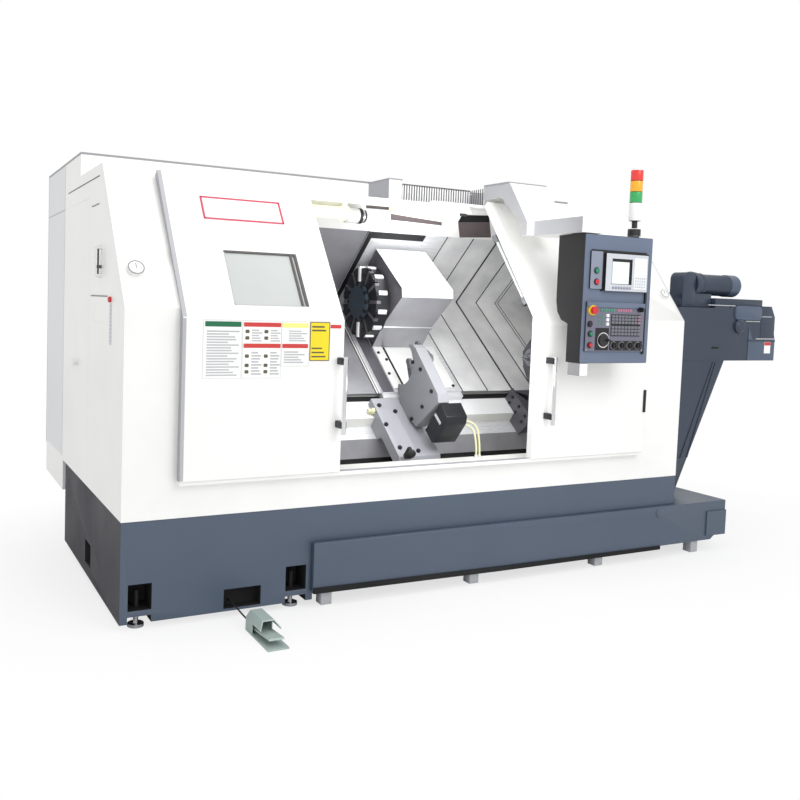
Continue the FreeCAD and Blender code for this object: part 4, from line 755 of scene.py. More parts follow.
# Painted shade: dark fields laid over the wall's slits stand for the shade inside them.
fields("side_slits", "gasket", left_wall, 0.0, 0.0008, (-1.470, -0.575, 2.089, 2.095),
       (-0.759, -0.573, 1.952, 1.957), (-0.750, -0.355, 1.498, 1.503))
SEAM = -1.585
WALL_BACK = 0.012 - span("electrical_cabinet", "y")[1]
fields("side_rear_shade", "grey_white", left_wall, 0.0, 0.0004, (WALL_BACK, SEAM, 0.52, 2.267))
fields("side_rear_seams", "edge_grey", left_wall, 0.0, 0.0007, (WALL_BACK, SEAM, 2.002, 2.010),
       (SEAM, SEAM + 0.006, 0.52, 2.267))
door_left, door_foot = span("left_door", "x")[0], span("left_door", "z")[0]
# Painted shade: a grey strip on the left door's face along its left edge.
edge_strip = rectangle((door_left + 0.001, door_left + 0.020), (0.004, LEAN_LENGTH - 0.004))
flat_strip = rectangle((door_left + 0.001, door_left + 0.016), (door_foot + 0.004, DOOR_BEND - 0.002))
show("left_door_edge_strip", [plate(door_lean, edge_strip, 0.0, 0.0006),
                              plate(door_flat, flat_strip, 0.0, 0.0006)], "edge_grey", "left_door")
fields("side_label", "grey_plastic", left_wall, 0.0, 0.0008, (-0.300, -0.252, 1.274, 1.469), corner=0.004)
fields("side_label_rows", "card_ink", left_wall, 0.0, 0.0012,
       *[(-0.292, -0.262, z, z + 0.008) for z in np.arange(1.290, 1.455, 0.018)])
push = [(0, 0.014), (0.010, 0.014), (0.014, 0.010)]
show("side_button", [turned(at(0, 0.278, 1.486), (-1, 0, 0), push, 24)], "red_plastic")
print("left wall dressed")

# %% [markdown]
# Control pendant: a blue-grey fascia on a dark housing.  Places on its face are measured
# from its lower left corner, across and up, in metres.
# %% Pendant face
PENDANT_LEFT, PENDANT_RIGHT = span("pendant_housing", "x")
PENDANT_LOW, PENDANT_HIGH = 1.225, 1.910
PANEL = 0.012                  # the operating panels' own thickness
face = Plane(at(PENDANT_LEFT, span("pendant_housing", "y")[0], PENDANT_LOW))
fields("pendant_fascia", "panel_coat", face, 0.0, 0.003,
       (0.002, PENDANT_RIGHT - PENDANT_LEFT - 0.002, 0.002, PENDANT_HIGH - PENDANT_LOW - 0.002),
       body="pendant", corner=0.006)
# Columns: name, finish, limits across and up, height of back and front, corner radius.
FACE_FIELDS = """
screen_bezel_left grey_plastic .131 .173 .389 .587 .026 .027 .003
screen_bezel_right grey_plastic .318 .433 .389 .587 .026 .027 .003
screen_bezel_top grey_plastic .173 .318 .561 .587 .026 .027 .003
screen_bezel_foot grey_plastic .173 .318 .389 .425 .026 .027 .003
screen_mask black_plastic .174 .317 .426 .560 .021 .0218 .003
screen_pane screen .180 .300 .428 .545 .021 .0224 .002
screen_key_field card_white .334 .424 .404 .570 .026 .028 .003
screen_side_shadow black_rubber .119 .131 .386 .604 0 .010 .003
screen_top_slit black_rubber .045 .440 .588 .604 0 .008 .003
right_edge_slot black_rubber .4385 .450 .050 .595 0 .013 .003
bracket_front white_coat .006 .059 -.067 -.002 0 .0006 .003
small_panel_face panel_light .038 .118 .397 .595 .012 .013 .003
lower_panel_face mauve_panel .023 .438 .065 .327 .012 .013 .003
lower_panel_lip panel_coat .023 .438 .300 .327 .012 .019 .004
wheel_field dark_coat .090 .186 .070 .190 .013 .0136 .003
knob_field dark_coat .194 .432 .070 .122 .013 .0136 .003
"""
for name, kind, *box, back, front, corner in table(FACE_FIELDS):
    fields(name, kind, face, back, front, box, body="pendant", corner=corner)
# Columns: name, finish, limits across and up, columns, rows, filled share, back, front.
KEYS = """
screen_keys grey_plastic .338 .420 .408 .470 5 4 .7 .027 .030
screen_letter_keys white_plastic .338 .420 .478 .566 5 5 .78 .027 .029
screen_soft_keys panel_light .176 .316 .397 .415 7 1 .72 .026 .029
green_status_keys green_key .118 .222 .276 .296 6 1 .8 .012 .016
pink_status_keys pink_key .240 .345 .276 .296 6 1 .8 .012 .016
upper_key_grid slate_key .198 .411 .212 .262 9 3 .82 .015 .018
lower_key_grid slate_key .198 .411 .150 .204 9 3 .82 .015 .018
coloured_keys green_key .100 .150 .205 .262 2 3 .5 .013 .016
white_buttons card_white .158 .180 .200 .268 1 3 .75 .013 .021
red_grid_keys pink_key .388 .411 .212 .262 1 3 .6 .016 .019
"""
for name, kind, left, end, foot, top, columns, rows, size, back, front in table(KEYS):
    step = np.array([(end - left) / columns, (top - foot) / rows])
    wide, tall = step * size / 2
    middles = [(left, foot) + step * (column + 0.5, row + 0.5) for column in range(int(columns))
               for row in range(int(rows))]
    caps = [rectangle((x - wide, x + wide), (z - tall, z + tall), 0.0015, 2) for x, z in middles]
    show(name, [plate(face, cap, back, front, 0.0008) for cap in caps], kind, "pendant")
# Columns: name, finish, middle across and up, outer and inner radius, back, front.
RINGS = """
emergency_stop_ring yellow_plastic .061 .283 .0275 .0245 .003 .0205
emergency_stop_plate yellow_plastic .061 .283 .0270 .0115 .019 .0207
handwheel_ring chrome .145 .125 .0415 .0360 .013 .018
handwheel_scale black_plastic .145 .125 .0355 .0325 .013 .017
upper_green_button_ring black_plastic .077 .493 .017 .0136 .012 .018
upper_red_button_ring black_plastic .080 .434 .017 .0136 .012 .018
mode_key_lock_ring black_plastic .048 .210 .017 .0136 .012 .018
knob_scale_1 card_ink .2250 .097 .0215 .0195 .012 .014
knob_scale_2 card_ink .2837 .097 .0215 .0195 .012 .014
knob_scale_3 card_ink .3424 .097 .0215 .0195 .012 .014
knob_scale_4 card_ink .4011 .097 .0215 .0195 .012 .014
"""
for name, kind, x, z, outer, inner, back, front in table(RINGS):
    show(name, [frame_strip(face, circle(x, z, outer, 40), outer - inner, back, front)], kind, "pendant")
for name, x, z, kind in (("upper_green_button", 0.077, 0.493, "green_plastic"),
                         ("upper_red_button", 0.080, 0.434, "red_plastic"),
                         ("mode_key_lock", 0.048, 0.210, "black_plastic")):
    dome = [(0, 0.0135), (0.010, 0.0135), (0.0125, 0.011), (0.013, 0.0)]
    show(name, [turned(face.spot(x, z, PANEL), face.out, dome, 28)], kind, "pendant")
screws = [screw_head(face, a, b, 0.004, PANEL, 0.002) for a in (0.030, 0.431) for b in (0.072, 0.292)]
show("panel_screws", screws, "zinc", "pendant")
print("pendant face dressed")

# %% [markdown]
# Stack light: white body, black pole and foot, three clear coloured lenses, slightly wider
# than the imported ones, with a black seal under each.
# %% Stack light
tower_foot = at(PENDANT_LEFT + 0.385, -0.240, PENDANT_HIGH)


def stack(name, profile, kind, count=48):
    """A piece turned about the stack light's axis, upwards from its foot."""
    show(name, [turned(tower_foot, (0, 0, 1), profile, count)], kind, "pendant")


LENS_START, LENS_PITCH, LENS_TALL = 0.189, 0.059, 0.056
for k, kind in enumerate(("green_lens", "amber_lens", "red_lens")):
    low = LENS_START + LENS_PITCH * k + 0.003
    top = low + LENS_TALL
    stack("stack_" + kind, [(low, 0.0318), (low, 0.0326), (low + 0.002, 0.0329), (top - 0.002, 0.0329),
                            (top, 0.0326), (top, 0.0318)], kind)
    stack("stack_seal_%d" % k, [(low - 0.003, 0.029), (low - 0.003, 0.0312), (low, 0.0312), (low, 0.029)],
          "black_rubber")
stack("stack_body", [(0.093, 0.031), (0.093, 0.0322), (0.187, 0.0326), (0.189, 0.0318)], "white_plastic")
stack("stack_pole", [(0.048, 0.013), (0.048, 0.0148), (0.093, 0.0148), (0.093, 0.013)], "black_plastic", 32)
stack("stack_foot", [(0.0, 0.0285), (0.008, 0.0285), (0.008, 0.033), (0.010, 0.0345), (0.046, 0.0345),
                     (0.050, 0.031), (0.050, 0.014)], "black_plastic", 40)
stack("stack_cap", [(0.363, 0.030), (0.366, 0.0305), (0.371, 0.024), (0.3735, 0.012), (0.374, 0.0)],
      "white_plastic", 40)
print("stack light dressed")

# %% [markdown]
# Cable chain in the roof tray: closed links, each a white bar with a dark gap after it.  It rides
# with the hood's carriage in place of the imported node.
# %% Cable chain
CHAIN_X, CHAIN_Y = span("energy_chain", "x"), span("energy_chain", "y")
TRAY_FLOOR, CHAIN_TOP = span("energy_chain", "z")
CHAIN_BARS, TRAVEL = 28, 0.36
CHAIN_TALL, CHAIN_LONG = CHAIN_TOP - TRAY_FLOOR, CHAIN_X[1] - CHAIN_X[0]
tray_plane = Plane(at(0, 0, TRAY_FLOOR), up=(0, 1, 0))
link = CHAIN_LONG / CHAIN_BARS
bars = [rectangle((x + 0.30 * link, x + 0.85 * link), CHAIN_Y, 0.003, 2)
        for x in CHAIN_X[0] + link * np.arange(CHAIN_BARS)]
chain_bars = show("chain_links", [plate(tray_plane, bar, 0.002, CHAIN_TALL - 0.007, 0.002) for bar in bars],
                  "white_plastic", "pendant_carriage")
spine = rectangle(CHAIN_X, (CHAIN_Y[0] + 0.004, CHAIN_Y[1] - 0.004))
brim = rectangle(CHAIN_X, CHAIN_Y, 0.002, 2)
chain_spine = show("chain_spine", [plate(tray_plane, spine, 0.001, CHAIN_TALL - 0.008),
                                   plate(tray_plane, brim, CHAIN_TALL - 0.0075, CHAIN_TALL)],
                   "gasket", "pendant_carriage", ("energy_chain",))
fields("chain_end_bars", "gasket", Plane(at(CHAIN_X[1], 0, 0), (0, -1, 0)), 0.0, 0.0008,
       *[(-y - 0.009, -y, TRAY_FLOOR + 0.004, CHAIN_TOP - 0.002) for y in np.linspace(0.524, 0.654, 7)],
       body="pendant_carriage")
for piece in (chain_bars, chain_spine):
    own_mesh(piece)

# %% [markdown]
# The top edges of the boxes on the roof catch no light: a grey line of painted shade runs along
# each, and another down the guard's right edge.
# %% Roof edges
EDGE, BOX_EDGE, LINE = 0.012, 0.009, 0.0006
REAR_BACK = span("electrical_cabinet", "y")[1]
REAR_FRONT, REAR_TOP = 1.086, 2.280
rear_front = Plane(at(0, REAR_FRONT, 0))
show("rear_box_lines",
     [plate(rear_front, rectangle((0.0, LENGTH), (REAR_TOP - EDGE, REAR_TOP)), 0.0, 0.0008),
      plate(left_wall, rectangle((-REAR_BACK, -REAR_FRONT), (REAR_TOP - EDGE, REAR_TOP)), 0.0, 0.0008),
      plate(left_wall, rectangle((-REAR_BACK, -REAR_BACK + EDGE), (0.5, REAR_TOP)), 0.0, LINE)], "edge_line")
box_x, box_y, box_z = (span("cable_box", side) for side in "xyz")
box_rim = (box_z[1] - BOX_EDGE, box_z[1])
show("cable_box_lines",
     [plate(Plane(at(0, box_y[0], 0)), rectangle(box_x, box_rim), 0.0, LINE),
      plate(Plane(at(box_x[0], 0, 0), (0, -1, 0)), rectangle((-box_y[1], -box_y[0]), box_rim), 0.0, LINE)],
     "edge_line")
HOOD_X, HOOD_TOP = span("pendant_hood", "x"), span("pendant_hood", "z")[1]
hood_brow = Plane(at(0, 0.262, HOOD_TOP - 0.028), up=(0, 0.023, 0.025))
hood_rim = [(-0.519, HOOD_TOP - 0.011), (-0.286, HOOD_TOP - 0.014), (-0.286, HOOD_TOP - 0.004),
            (-0.519, HOOD_TOP - 0.001)]
show("hood_lines", [plate(Plane(at(HOOD_X[0], 0, 0), (0, -1, 0)), hood_rim, 0.0, LINE),
                    plate(hood_brow, rectangle(HOOD_X, (0.022, 0.033)), 0.0, LINE)],
     "edge_line", "pendant_carriage")
# Painted shade: a faint grey line down the guard's right edge.
fields("guard_right_line", "edge_grey", guard_lean, 0.0, LINE, (LENGTH - 0.004, LENGTH - 0.0002, 0.0, 0.860))

# %% [markdown]
# Under the roof: dark shadows on the inner ceiling along the header, below the tube and by
# the right door, the round lamp's sleeve and end cap, and the door's gas strut.
# %% Header, lamps and strut
CEILING_LOW, CEILING_HIGH = (0.772, 1.938), (0.596, 2.096)
rise = np.subtract(CEILING_HIGH, CEILING_LOW)
ceiling = Plane(at(0, *CEILING_LOW), up=(0, *rise))
# Painted shadows on the ceiling: brown-grey fields along the header, below the tube and by the right door,
# and a black one beside the last.
# Columns: name, finish, then x and distance up the ceiling of four corners.
SHADOWS = """
header_line brown_gap 1.536 .177 2.243 .180 2.230 .202 1.526 .199
tube_shadow brown_gap 1.736 .103 2.107 .091 2.092 .118 1.713 .152
ceiling_gap brown_gap 2.288 .003 2.522 .024 2.433 .152 2.206 .129
ceiling_dark hollow 2.206 .129 2.433 .152 2.395 .204 2.202 .189
"""
for name, kind, *corners in table(SHADOWS):
    corners = np.clip(np.reshape(corners, (4, 2)), (0.0, 0.002), (9.0, math.hypot(*rise) - 0.003))
    show(name, [plate(ceiling, corners, 0.0002, 0.0012)], kind)
ROUND_LAMP = at(1.436, 0.560, 1.998)
for name, kind, closed, *profile in (
        ("round_lamp_sleeve", "white_plastic", False,
         (-0.076, 0.040), (-0.076, 0.0425), (0.002, 0.0425), (0.002, 0.040)),
        ("round_lamp_cap", "black_plastic", False,
         (0.0, 0.040), (0.0, 0.044), (0.020, 0.044), (0.022, 0.036), (0.046, 0.036), (0.050, 0.030)),
        ("round_lamp_ring", "chrome", True,
         (0.022, 0.0355), (0.022, 0.0385), (0.034, 0.0385), (0.034, 0.0355))):
    show(name, [turned(ROUND_LAMP, (1, 0, 0), profile, 32, closed)], kind)
strut_low, strut_high = door_lean.place([(2.286, lean_at(1.600)), (2.262, lean_at(1.931))], -0.060)
strut = strut_high - strut_low
show("door_strut", [turned(strut_low, strut, [(0.0, 0.0085), (np.linalg.norm(strut), 0.0085)], 20)],
     "grey_white", "right_door")
show("door_strut_clamps", [turned(strut_low + strut * share, strut, [(0.0, 0.019), (0.045, 0.019)], 6)
                           for share in (-0.12, 0.97)], "turned_steel", "right_door")

# %% [markdown]
# Slideway covers, turret and steady rest: what shows through the operator's opening.
# Places on the slope are u along it from the fold and v above it.  Each cover ends at its
# seam with a black lip that wipes the next one, and laps the next by a hand's width.
# %% Covers and lips
UPPER_SLOPE = math.radians(42.5)
COVER_LOW = -0.868
SHEET, PITCH, LAP = 0.003, 0.0033, 0.098
fold_up = Plane(at(0, *VERTEX), up=(0, -math.cos(UPPER_SLOPE), math.sin(UPPER_SLOPE)))
cover_top = span("right_cover_1", "z")[1]
COVER_HIGH = (cover_top - VERTEX[1] + 3 * PITCH * math.cos(UPPER_SLOPE)) / math.sin(UPPER_SLOPE)


def bent(x, offset, thick):
    """Bent sheet: both legs moved out by `offset`, so its corner moves by d (n1 + n2) / (1 + n1.n2)."""
    share = (slant.out + fold_up.out) / (1 + slant.out @ fold_up.out)
    lines = [[slant.corner + COVER_LOW * slant.up + d * slant.out, slant.corner + d * share,
              fold_up.corner + COVER_HIGH * fold_up.up + d * fold_up.out] for d in (offset, offset + thick)]
    section = np.array(lines[0] + lines[1][::-1])
    return loft([section + x[1] * slant.across, section + x[0] * slant.across])


SEAMS = (2.205, 2.409, 2.604, 2.780)
for k, lip in enumerate((0.008, 0.013, 0.008)):
    name, end, layer = "right_cover_%d" % (k + 1), SEAMS[k + 1], 3 - k
    start = SEAMS[k] - LAP - (0.007 if k == 0 else 0.0)
    show(name + "_sheet", [bent((start, end), layer * PITCH, SHEET)], "rear_steel", name, (name,))
    show(name + "_lip", [bent((end - 0.001, end + lip), (layer - 1) * PITCH + SHEET + 0.0001, 0.0034)],
         "black_rubber", name)
show("right_end_lap", [bent((SEAMS[3] - LAP, SEAMS[3] + 0.001), 0.0, SHEET)], "rear_steel")
show("right_end_lines", [bent((x, x + 0.005), SHEET, 0.0012) for x in (2.950, 2.974)], "black_rubber")
DECK, SHIELD = 0.0295, 0.0192  # the saddle's flat top and its upper apron above the slope
SADDLE_LEFT, SADDLE_RIGHT = span("carriage", "x")
for k, (kind, *x) in enumerate((("gasket", 1.613, 1.619), ("white_coat", 1.619, 1.626),
                                ("gasket", 1.626, 1.632), ("sheet_steel", 1.632, 1.6445))):
    fields("carriage_left_lip_%d" % (k + 1), kind, slant, 0.0068, 0.0100 + 0.0003 * k,
           (*x, COVER_LOW, -0.290), body="carriage")
right_lip = (SADDLE_RIGHT - 0.001, SADDLE_RIGHT + 0.006)
BAND, STRIP = DECK + 0.0008, (DECK + 0.0079, DECK + 0.0095)
for name, kind, plane, low, high, box, corner, edge in (
        ("right_lip", "black_rubber", slant, 0.0132, BAND, (*right_lip, -0.882, -0.150), 0, 0),
        ("upper_lip", "black_rubber", fold_up, 0.0132, SHIELD + 0.0006,
         (*right_lip, 0.010, COVER_HIGH), 0, 0),
        ("dark_band", "end_steel", slant, DECK, BAND, (SADDLE_LEFT + 0.001, 1.7235, -0.880, -0.160), 0, 0),
        ("gap", "black_rubber", slant, DECK, BAND, (1.793, 1.812, -0.878, -0.500), 0, 0),
        ("white_cover", "white_coat", slant, DECK, DECK + 0.0020, (1.813, 2.036, -0.878, -0.500),
         0.004, 0.001),
        ("strip_left", "white_coat", slant, *STRIP, (1.7252, 1.7908, -0.8598, -0.5005), 0.003, 0.001),
        ("strip_right", "white_coat", slant, *STRIP, (2.0402, 2.1648, -0.8598, -0.5005), 0.003, 0.001)):
    fields("carriage_" + name, kind, plane, low, high, box, body="carriage", corner=corner, edge=edge)
fields("carriage_seals", "black_rubber", fold_up, SHIELD, SHIELD + 0.004, (1.646, 1.676, 0.010, 0.615),
       (1.6755, 2.045, 0.567, 0.615), body="carriage")


def studs(name, plane, places, radius, low, height, body=FRAME_BODY):
    """Black bolt heads of one radius at (a, b) places on a plane."""
    return show(name, [screw_head(plane, a, b, radius, low, height) for a, b in places], "black_steel", body)


studs("carriage_bolts_left", slant, [(1.742, -0.56), (1.774, -0.62), (1.742, -0.74), (1.774, -0.84)], 0.009,
      DECK + 0.009, 0.008, "carriage")
studs("carriage_bolts_right", slant, [(2.058, -0.56), (2.058, -0.70), (2.058, -0.84), (2.148, -0.85)], 0.010,
      DECK + 0.009, 0.008, "carriage")
print("covers and carriage dressed")

# %% [markdown]
# Turret: a tool block in every slot, two of them fitted with white holders, bright blocks on
# the rim toward the operator and a notched blue-black cap over the middle.
# %% Turret
STATIONS, WHITE_STATIONS = 12, (0, 6)
_, middle_y, middle_z = slant.spot(0.0, -0.331, 0.250)
disc_face = at(span("turret_disc", "x")[0] + 0.018, 0, 0)[0]
turret_face = Plane(np.array([disc_face, middle_y, middle_z]), (0, -1, 0))


def spun(station, half, radii, low, high, edge=0.0):
    """Plate of the top station, turned about the middle by station * 30 degrees."""
    angle = -2 * np.pi * station / STATIONS
    turn = np.array([(math.cos(angle), math.sin(angle)), (-math.sin(angle), math.cos(angle))])
    return plate(turret_face, rectangle((-half, half), radii, 0.002, 2) @ turn, low, high, edge)


slots = [k for k in range(STATIONS) if k not in WHITE_STATIONS]
show("turret_blocks", [spun(k, 0.0112, (0.098, 0.209), -0.030, -0.002, 0.001) for k in slots], "end_steel",
     "turret_disc")
show("turret_white_holders", [spun(k, 0.0115, (0.122, 0.214), -0.028, 0.010, 0.002) for k in WHITE_STATIONS],
     "white_coat", "turret_disc")
rims = [spun(k + 0.5, 0.013, (0.198, 0.220), -0.070, -0.014, 0.003) for k in range(STATIONS)]
show("turret_rim_blocks", rims, "sheet_steel", "turret_disc")
BOLT_CIRCLE = 0.1681
turns = [2 * math.pi * (k + share) / STATIONS for k in range(STATIONS) for share in (0.36, 0.64)]
studs("turret_face_bolts", turret_face,
      [(BOLT_CIRCLE * math.sin(t), BOLT_CIRCLE * math.cos(t)) for t in turns],
      0.006, 0.0, 0.003, "turret_disc")
show("turret_cap", [turned(turret_face.corner, turret_face.out,
                           [(-0.0005, 0.116), (0.014, 0.116), (0.0185, 0.110), (0.0190, 0.0)], 48)],
     "hub_blue", "turret_disc")
show("turret_cap_notches", [spun(k, 0.012, (0.098, 0.1168), 0.0, 0.0194) for k in range(STATIONS)], "hollow",
     "turret_disc")

# %% [markdown]
# Bed, steady rest and tailstock: ground ways with a dark line under the covers' edge, partly the
# wiper and partly painted shadow, a black field of painted shadow in the gap below the bed's front
# band, bolts, the cylinder's light stripe, a hose fitting and the clamping wheel at the carrier's end.
# %% Bed and steady rest
BED_X = (0.960, 3.284)
WAY_UPPER, WAY_LOWER, BED_FRONT, CARRIER_TOP = -0.020, -0.087, 0.4403, 0.0287
fields("way_upper", "front_steel", slant, WAY_UPPER, WAY_UPPER + 0.0002, (*BED_X, -1.033, -0.9065))
# Painted shadow: the dark line along the way under the covers' edge stands for the wiper and the shadow gap
# beside it.
fields("way_wiped_line", "hollow", slant, WAY_UPPER, WAY_UPPER + 0.0002, (*BED_X, -0.906, -0.8665))
fields("way_lower", "sheet_steel", slant, WAY_LOWER, WAY_LOWER + 0.0002, (*BED_X, -1.129, -1.040))
bed_front = Plane(at(0, BED_FRONT, 0))
fields("bed_front_band", "shaded_steel", bed_front, 0.0, 0.0006, (*BED_X, 0.634, 0.741))
# Painted shadow: a black field in the gap below the bed's front band.
fields("bed_front_line", "hollow", bed_front, 0.0, 0.0006, (*BED_X, 0.585, 0.633))
studs("carrier_bolts", slant,
      [(1.575, -0.985), (1.560, -1.130), (1.575, -1.300), (1.660, -1.035), (1.680, -1.330)],
      0.0125, CARRIER_TOP, 0.0105)
studs("steady_bolts", slope_end(1.722), [(0.905, 0.300), (0.990, 0.327), (1.151, 0.318), (1.120, 0.060),
                                         (1.147, 0.190)], 0.011, 0.0, 0.009)
fields("cylinder_plate", "grey_plastic", slope_end(1.736), 0.0, 0.0012, (1.245, 1.318, 0.228, 0.246),
       corner=0.003)
nozzle = [(0, 0.020), (0.018, 0.020), (0.022, 0.013), (0.040, 0.013)]
show("carrier_fitting", [turned(slant.spot(1.5452, -1.0, 0.004), (-1, 0, 0), nozzle, 6)], "yellow_hose")
post = rectangle((1.575, 1.595), (-1.374, -1.350), 0.002)
wheel_post = plate(slant, post, CARRIER_TOP - 0.001, 0.098, 0.002)
wheel = turned(slant.spot(1.585, -1.372, 0.076), down_slope,
               [(0, 0.020), (0.006, 0.030), (0.020, 0.031), (0.026, 0.024), (0.027, 0.0)], 28)
show("carrier_wheel", [wheel, wheel_post], "black_rubber")
studs("tailstock_bolts", slope_end(2.541), [(a, b) for a in (0.960, 1.040, 1.120) for b in (-0.005, 0.045)],
      0.010, 0.0, 0.007, "tailstock")
print("bed, turret and steady rest dressed")

# %% [markdown]
# Conveyor drive: a round-cornered gear case on its foot, a geared motor whose fan cowl is lighter
# as a painted highlight, and on the head's side covers lighter where they face the light as painted
# light, bright ledge edges as painted highlights and a plain two-colour patch.  Along the tank's
# foot runs a dark line of painted shadow, and its right end steps up.
# %% Conveyor drive
head_side = Plane(at(0, 0.200, 0))
case_face = Plane(at(0, 0.222, 0))
CASE = (3.672, 3.790)
HEAD_DEEP = 0.350
motor_start = at(CASE[1], 0.290, 1.700)
motor_profile = [(0.0, 0.050), (0.0, 0.082), (0.016, 0.084), (0.050, 0.080), (0.058, 0.068),
                 (0.074, 0.077), (0.090, 0.077), (0.096, 0.070), (0.330, 0.070), (0.336, 0.074),
                 (0.420, 0.074), (0.436, 0.062), (0.4455, 0.030), (0.4458, 0.0)]
gear_case = rectangle(CASE, (1.558, 1.775), 0.045, 6)
gear_foot = rectangle((CASE[0], 3.940), (1.549, 1.640), 0.006)
show("conveyor_drive", [plate(case_face, gear_case, -0.110, 0.0, 0.012),
                        plate(case_face, gear_foot, -0.178, -0.004, 0.004),
                        turned(motor_start, (1, 0, 0), motor_profile)],
     "conveyor_coat", replaces=("conveyor_motor",))
# Painted highlight: the fan cowl takes the lighter blue-grey where its round end catches the light.
cowl = [(0.337, 0.0742), (0.420, 0.0744), (0.437, 0.0622), (0.4459, 0.030), (0.446, 0.0)]
show("conveyor_fan_cowl", [turned(motor_start, (1, 0, 0), cowl)], "conveyor_light")


def on_head(name, kind, high, *outlines, low=0.0, edge=0.0):
    """One piece of plates on the head's side."""
    show(name, [plate(head_side, outline, low, high, edge) for outline in outlines], kind)


# Painted light: the chute cover takes the lighter blue-grey as the face that catches the light.
on_head("chute_cover", "conveyor_light", 0.0030,
        [(4.290, 1.200), (4.559, 1.200), (4.559, 1.346), (4.330, 1.346), (4.290, 1.420)])
# Painted highlights: grey strips along the ledges stand for their bright lit edges.
fields("conveyor_ledges", "edge_grey", head_side, 0.0, 0.0052, (4.363, 4.558, 1.345, 1.352),
       (4.414, 4.512, 1.497, 1.503), (4.249, 4.394, 1.463, 1.469), (3.880, 4.139, 1.564, 1.570))
drum_x, drum_z = np.mean(span("conveyor_drum", "x")), np.mean(span("conveyor_drum", "z"))
shaft_cap = [(0.0, 0.049), (0.013, 0.048), (0.015, 0.040), (0.0225, 0.030), (0.023, 0.0)]
show("conveyor_bearing_cap", [turned(at(drum_x, 0.200, drum_z), (0, -1, 0), shaft_cap, 32)], "conveyor_coat")
# Painted light: the rounded bulge over the drum takes the lighter blue-grey where it catches the light.
on_head("conveyor_bulge", "conveyor_light", 0.014, rectangle((4.139, 4.404), (1.472, 1.571), 0.030, 6),
        edge=0.012)
on_head("conveyor_lid", "conveyor_coat", 0.002, rectangle((3.947, 4.410), (1.571, 1.613), 0.004),
        [(4.409, 1.353), (4.549, 1.353), (4.549, 1.497), (4.509, 1.571), (4.409, 1.571)],
        low=-HEAD_DEEP, edge=0.001)
fields("conveyor_slot", "hollow", head_side, 0.0, 0.0008, (3.937, 4.006, 1.279, 1.291))
fields("conveyor_patch", "card_white", head_side, 0.003, 0.0038, (4.454, 4.517, 1.249, 1.327), corner=0.002)
fields("conveyor_patch_top", "card_red", head_side, 0.003, 0.0042, (4.455, 4.516, 1.303, 1.326))
on_head("conveyor_ribs", "conveyor_coat", 0.004,
        *[[(3.700 + k, 0.560), (3.708 + k, 0.560), (3.965 + k * 0.4, 1.190), (3.957 + k * 0.4, 1.190)]
          for k in (0.0, 0.060)])
tank_face = Plane(at(0, span("coolant_tank", "y")[0], 0))
# Painted shadow: a black strip along the tank's foot stands for the shadow under it.
tank_line = [(0.945, 0.072), (2.090, 0.060), (3.300, 0.058), (3.300, 0.080), (2.090, 0.086), (0.945, 0.100)]
show("tank_underside", [plate(tank_face, tank_line, -0.020, 0.0006)], "hollow")
tank_step = [(3.700, 0.104), (3.872, 0.103), (3.872, 0.260), (3.700, 0.260)]
show("tank_end_corner", [plate(tank_face, tank_step, -0.020, 0.0004)], "base_coat")

# %% [markdown]
# Cords: the foot switch's cable and the two hoses of the steady rest follow the same
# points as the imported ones, as splines of the second degree.
# %% Cords
def cord_curve(name, places, radius, kind, body="machine_frame"):
    """A round cord along control points: a clamped B-spline of order 3."""
    data = bpy.data.curves.new(name, "CURVE")
    data.dimensions = "3D"
    data.bevel_depth = radius
    data.bevel_resolution = 3
    data.resolution_u = 12
    data.use_fill_caps = True
    line = data.splines.new("NURBS")
    line.points.add(len(places) - 1)
    for point, place in zip(line.points, places):
        point.co = (*at(*place).tolist(), 1.0)
    line.order_u = 3
    line.use_endpoint_u = True
    data.materials.append(FINISH[kind])
    piece = bpy.data.objects.new(name, data)
    scene.collection.objects.link(piece)
    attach(piece, body)
    return piece


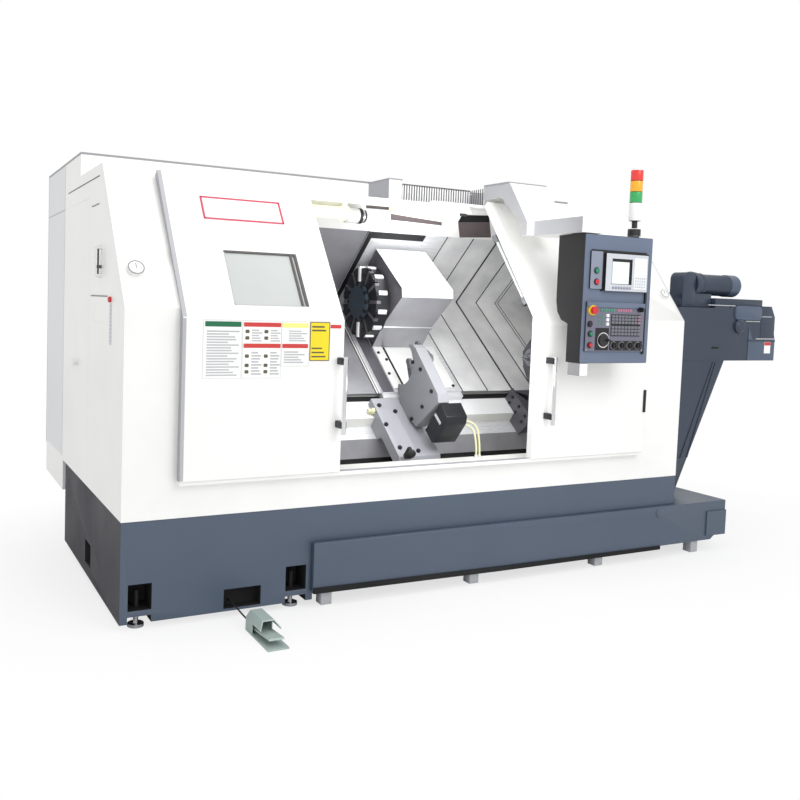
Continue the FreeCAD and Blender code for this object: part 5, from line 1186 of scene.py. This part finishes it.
FOOT_ROUTE = [(0.534, 0.0597, 0.070), (0.534, -0.022, 0.070), (0.566, -0.092, 0.027), (0.566, -0.1647, 0.027)]
foot_cord = cord_curve("foot_switch_cable", FOOT_ROUTE, 0.004, "black_rubber")
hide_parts("foot_cable")
for k, rise in enumerate((0.0, 0.022)):
    route = [(1.8723, 0.1294, 0.8558 + rise), (1.977 + rise, 0.1294, 0.8558 + rise),
             (1.977 + rise, 0.084, 0.7558), (1.977 + rise, 0.084, 0.6903)]
    hose = cord_curve("steady_hose_%d" % (k + 1), route, 0.006, "yellow_hose")
    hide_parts("steady_hoses")

# %% [markdown]
# A pale floor under the machine.  It keeps the machine's shadow and fades to white paper.
# %% Stage
HALF_FLOOR = 15.0
floor_mesh = bpy.data.meshes.new("studio_floor")
floor_mesh.from_pydata([(x * HALF_FLOOR, y * HALF_FLOOR, 0) for x, y in ((-1, -1), (1, -1), (1, 1), (-1, 1))],
                       [], [(0, 1, 2, 3)])
floor_finish = bpy.data.materials.new("studio_floor_paint")
floor_finish.use_nodes = True
tree = floor_finish.node_tree
tree.nodes.clear()
seen = add(tree, "LightPath")
where = add(tree, "TexCoord").outputs["Object"]
centred = add(tree, "Mapping", {"Scale": (0.36, 0.62, 0.0)}, {"Vector": where})
reach = add(tree, "VectorMath", links={0: centred.outputs["Vector"]}, operation="LENGTH")
far = add(tree, "MapRange", {"From Min": 0.75, "From Max": 1.35, "To Min": 0.70, "To Max": 1.0},
          {"Value": reach.outputs["Value"]})
share = add(tree, "Math", links={0: far.outputs["Result"], 1: seen.outputs["Is Camera Ray"]},
            operation="MULTIPLY")
matt = add(tree, "BsdfDiffuse", {"Color": (0.86, 0.86, 0.86, 1.0)})
paper = add(tree, "Emission", {"Color": WHITE, "Strength": 1.0})
mixed = add(tree, "MixShader", links={0: share.outputs[0], 1: matt.outputs[0], 2: paper.outputs[0]})
add(tree, "OutputMaterial", links={"Surface": mixed.outputs[0]})
floor_mesh.materials.append(floor_finish)
floor = bpy.data.objects.new("studio_floor", floor_mesh)
scene.collection.objects.link(floor)
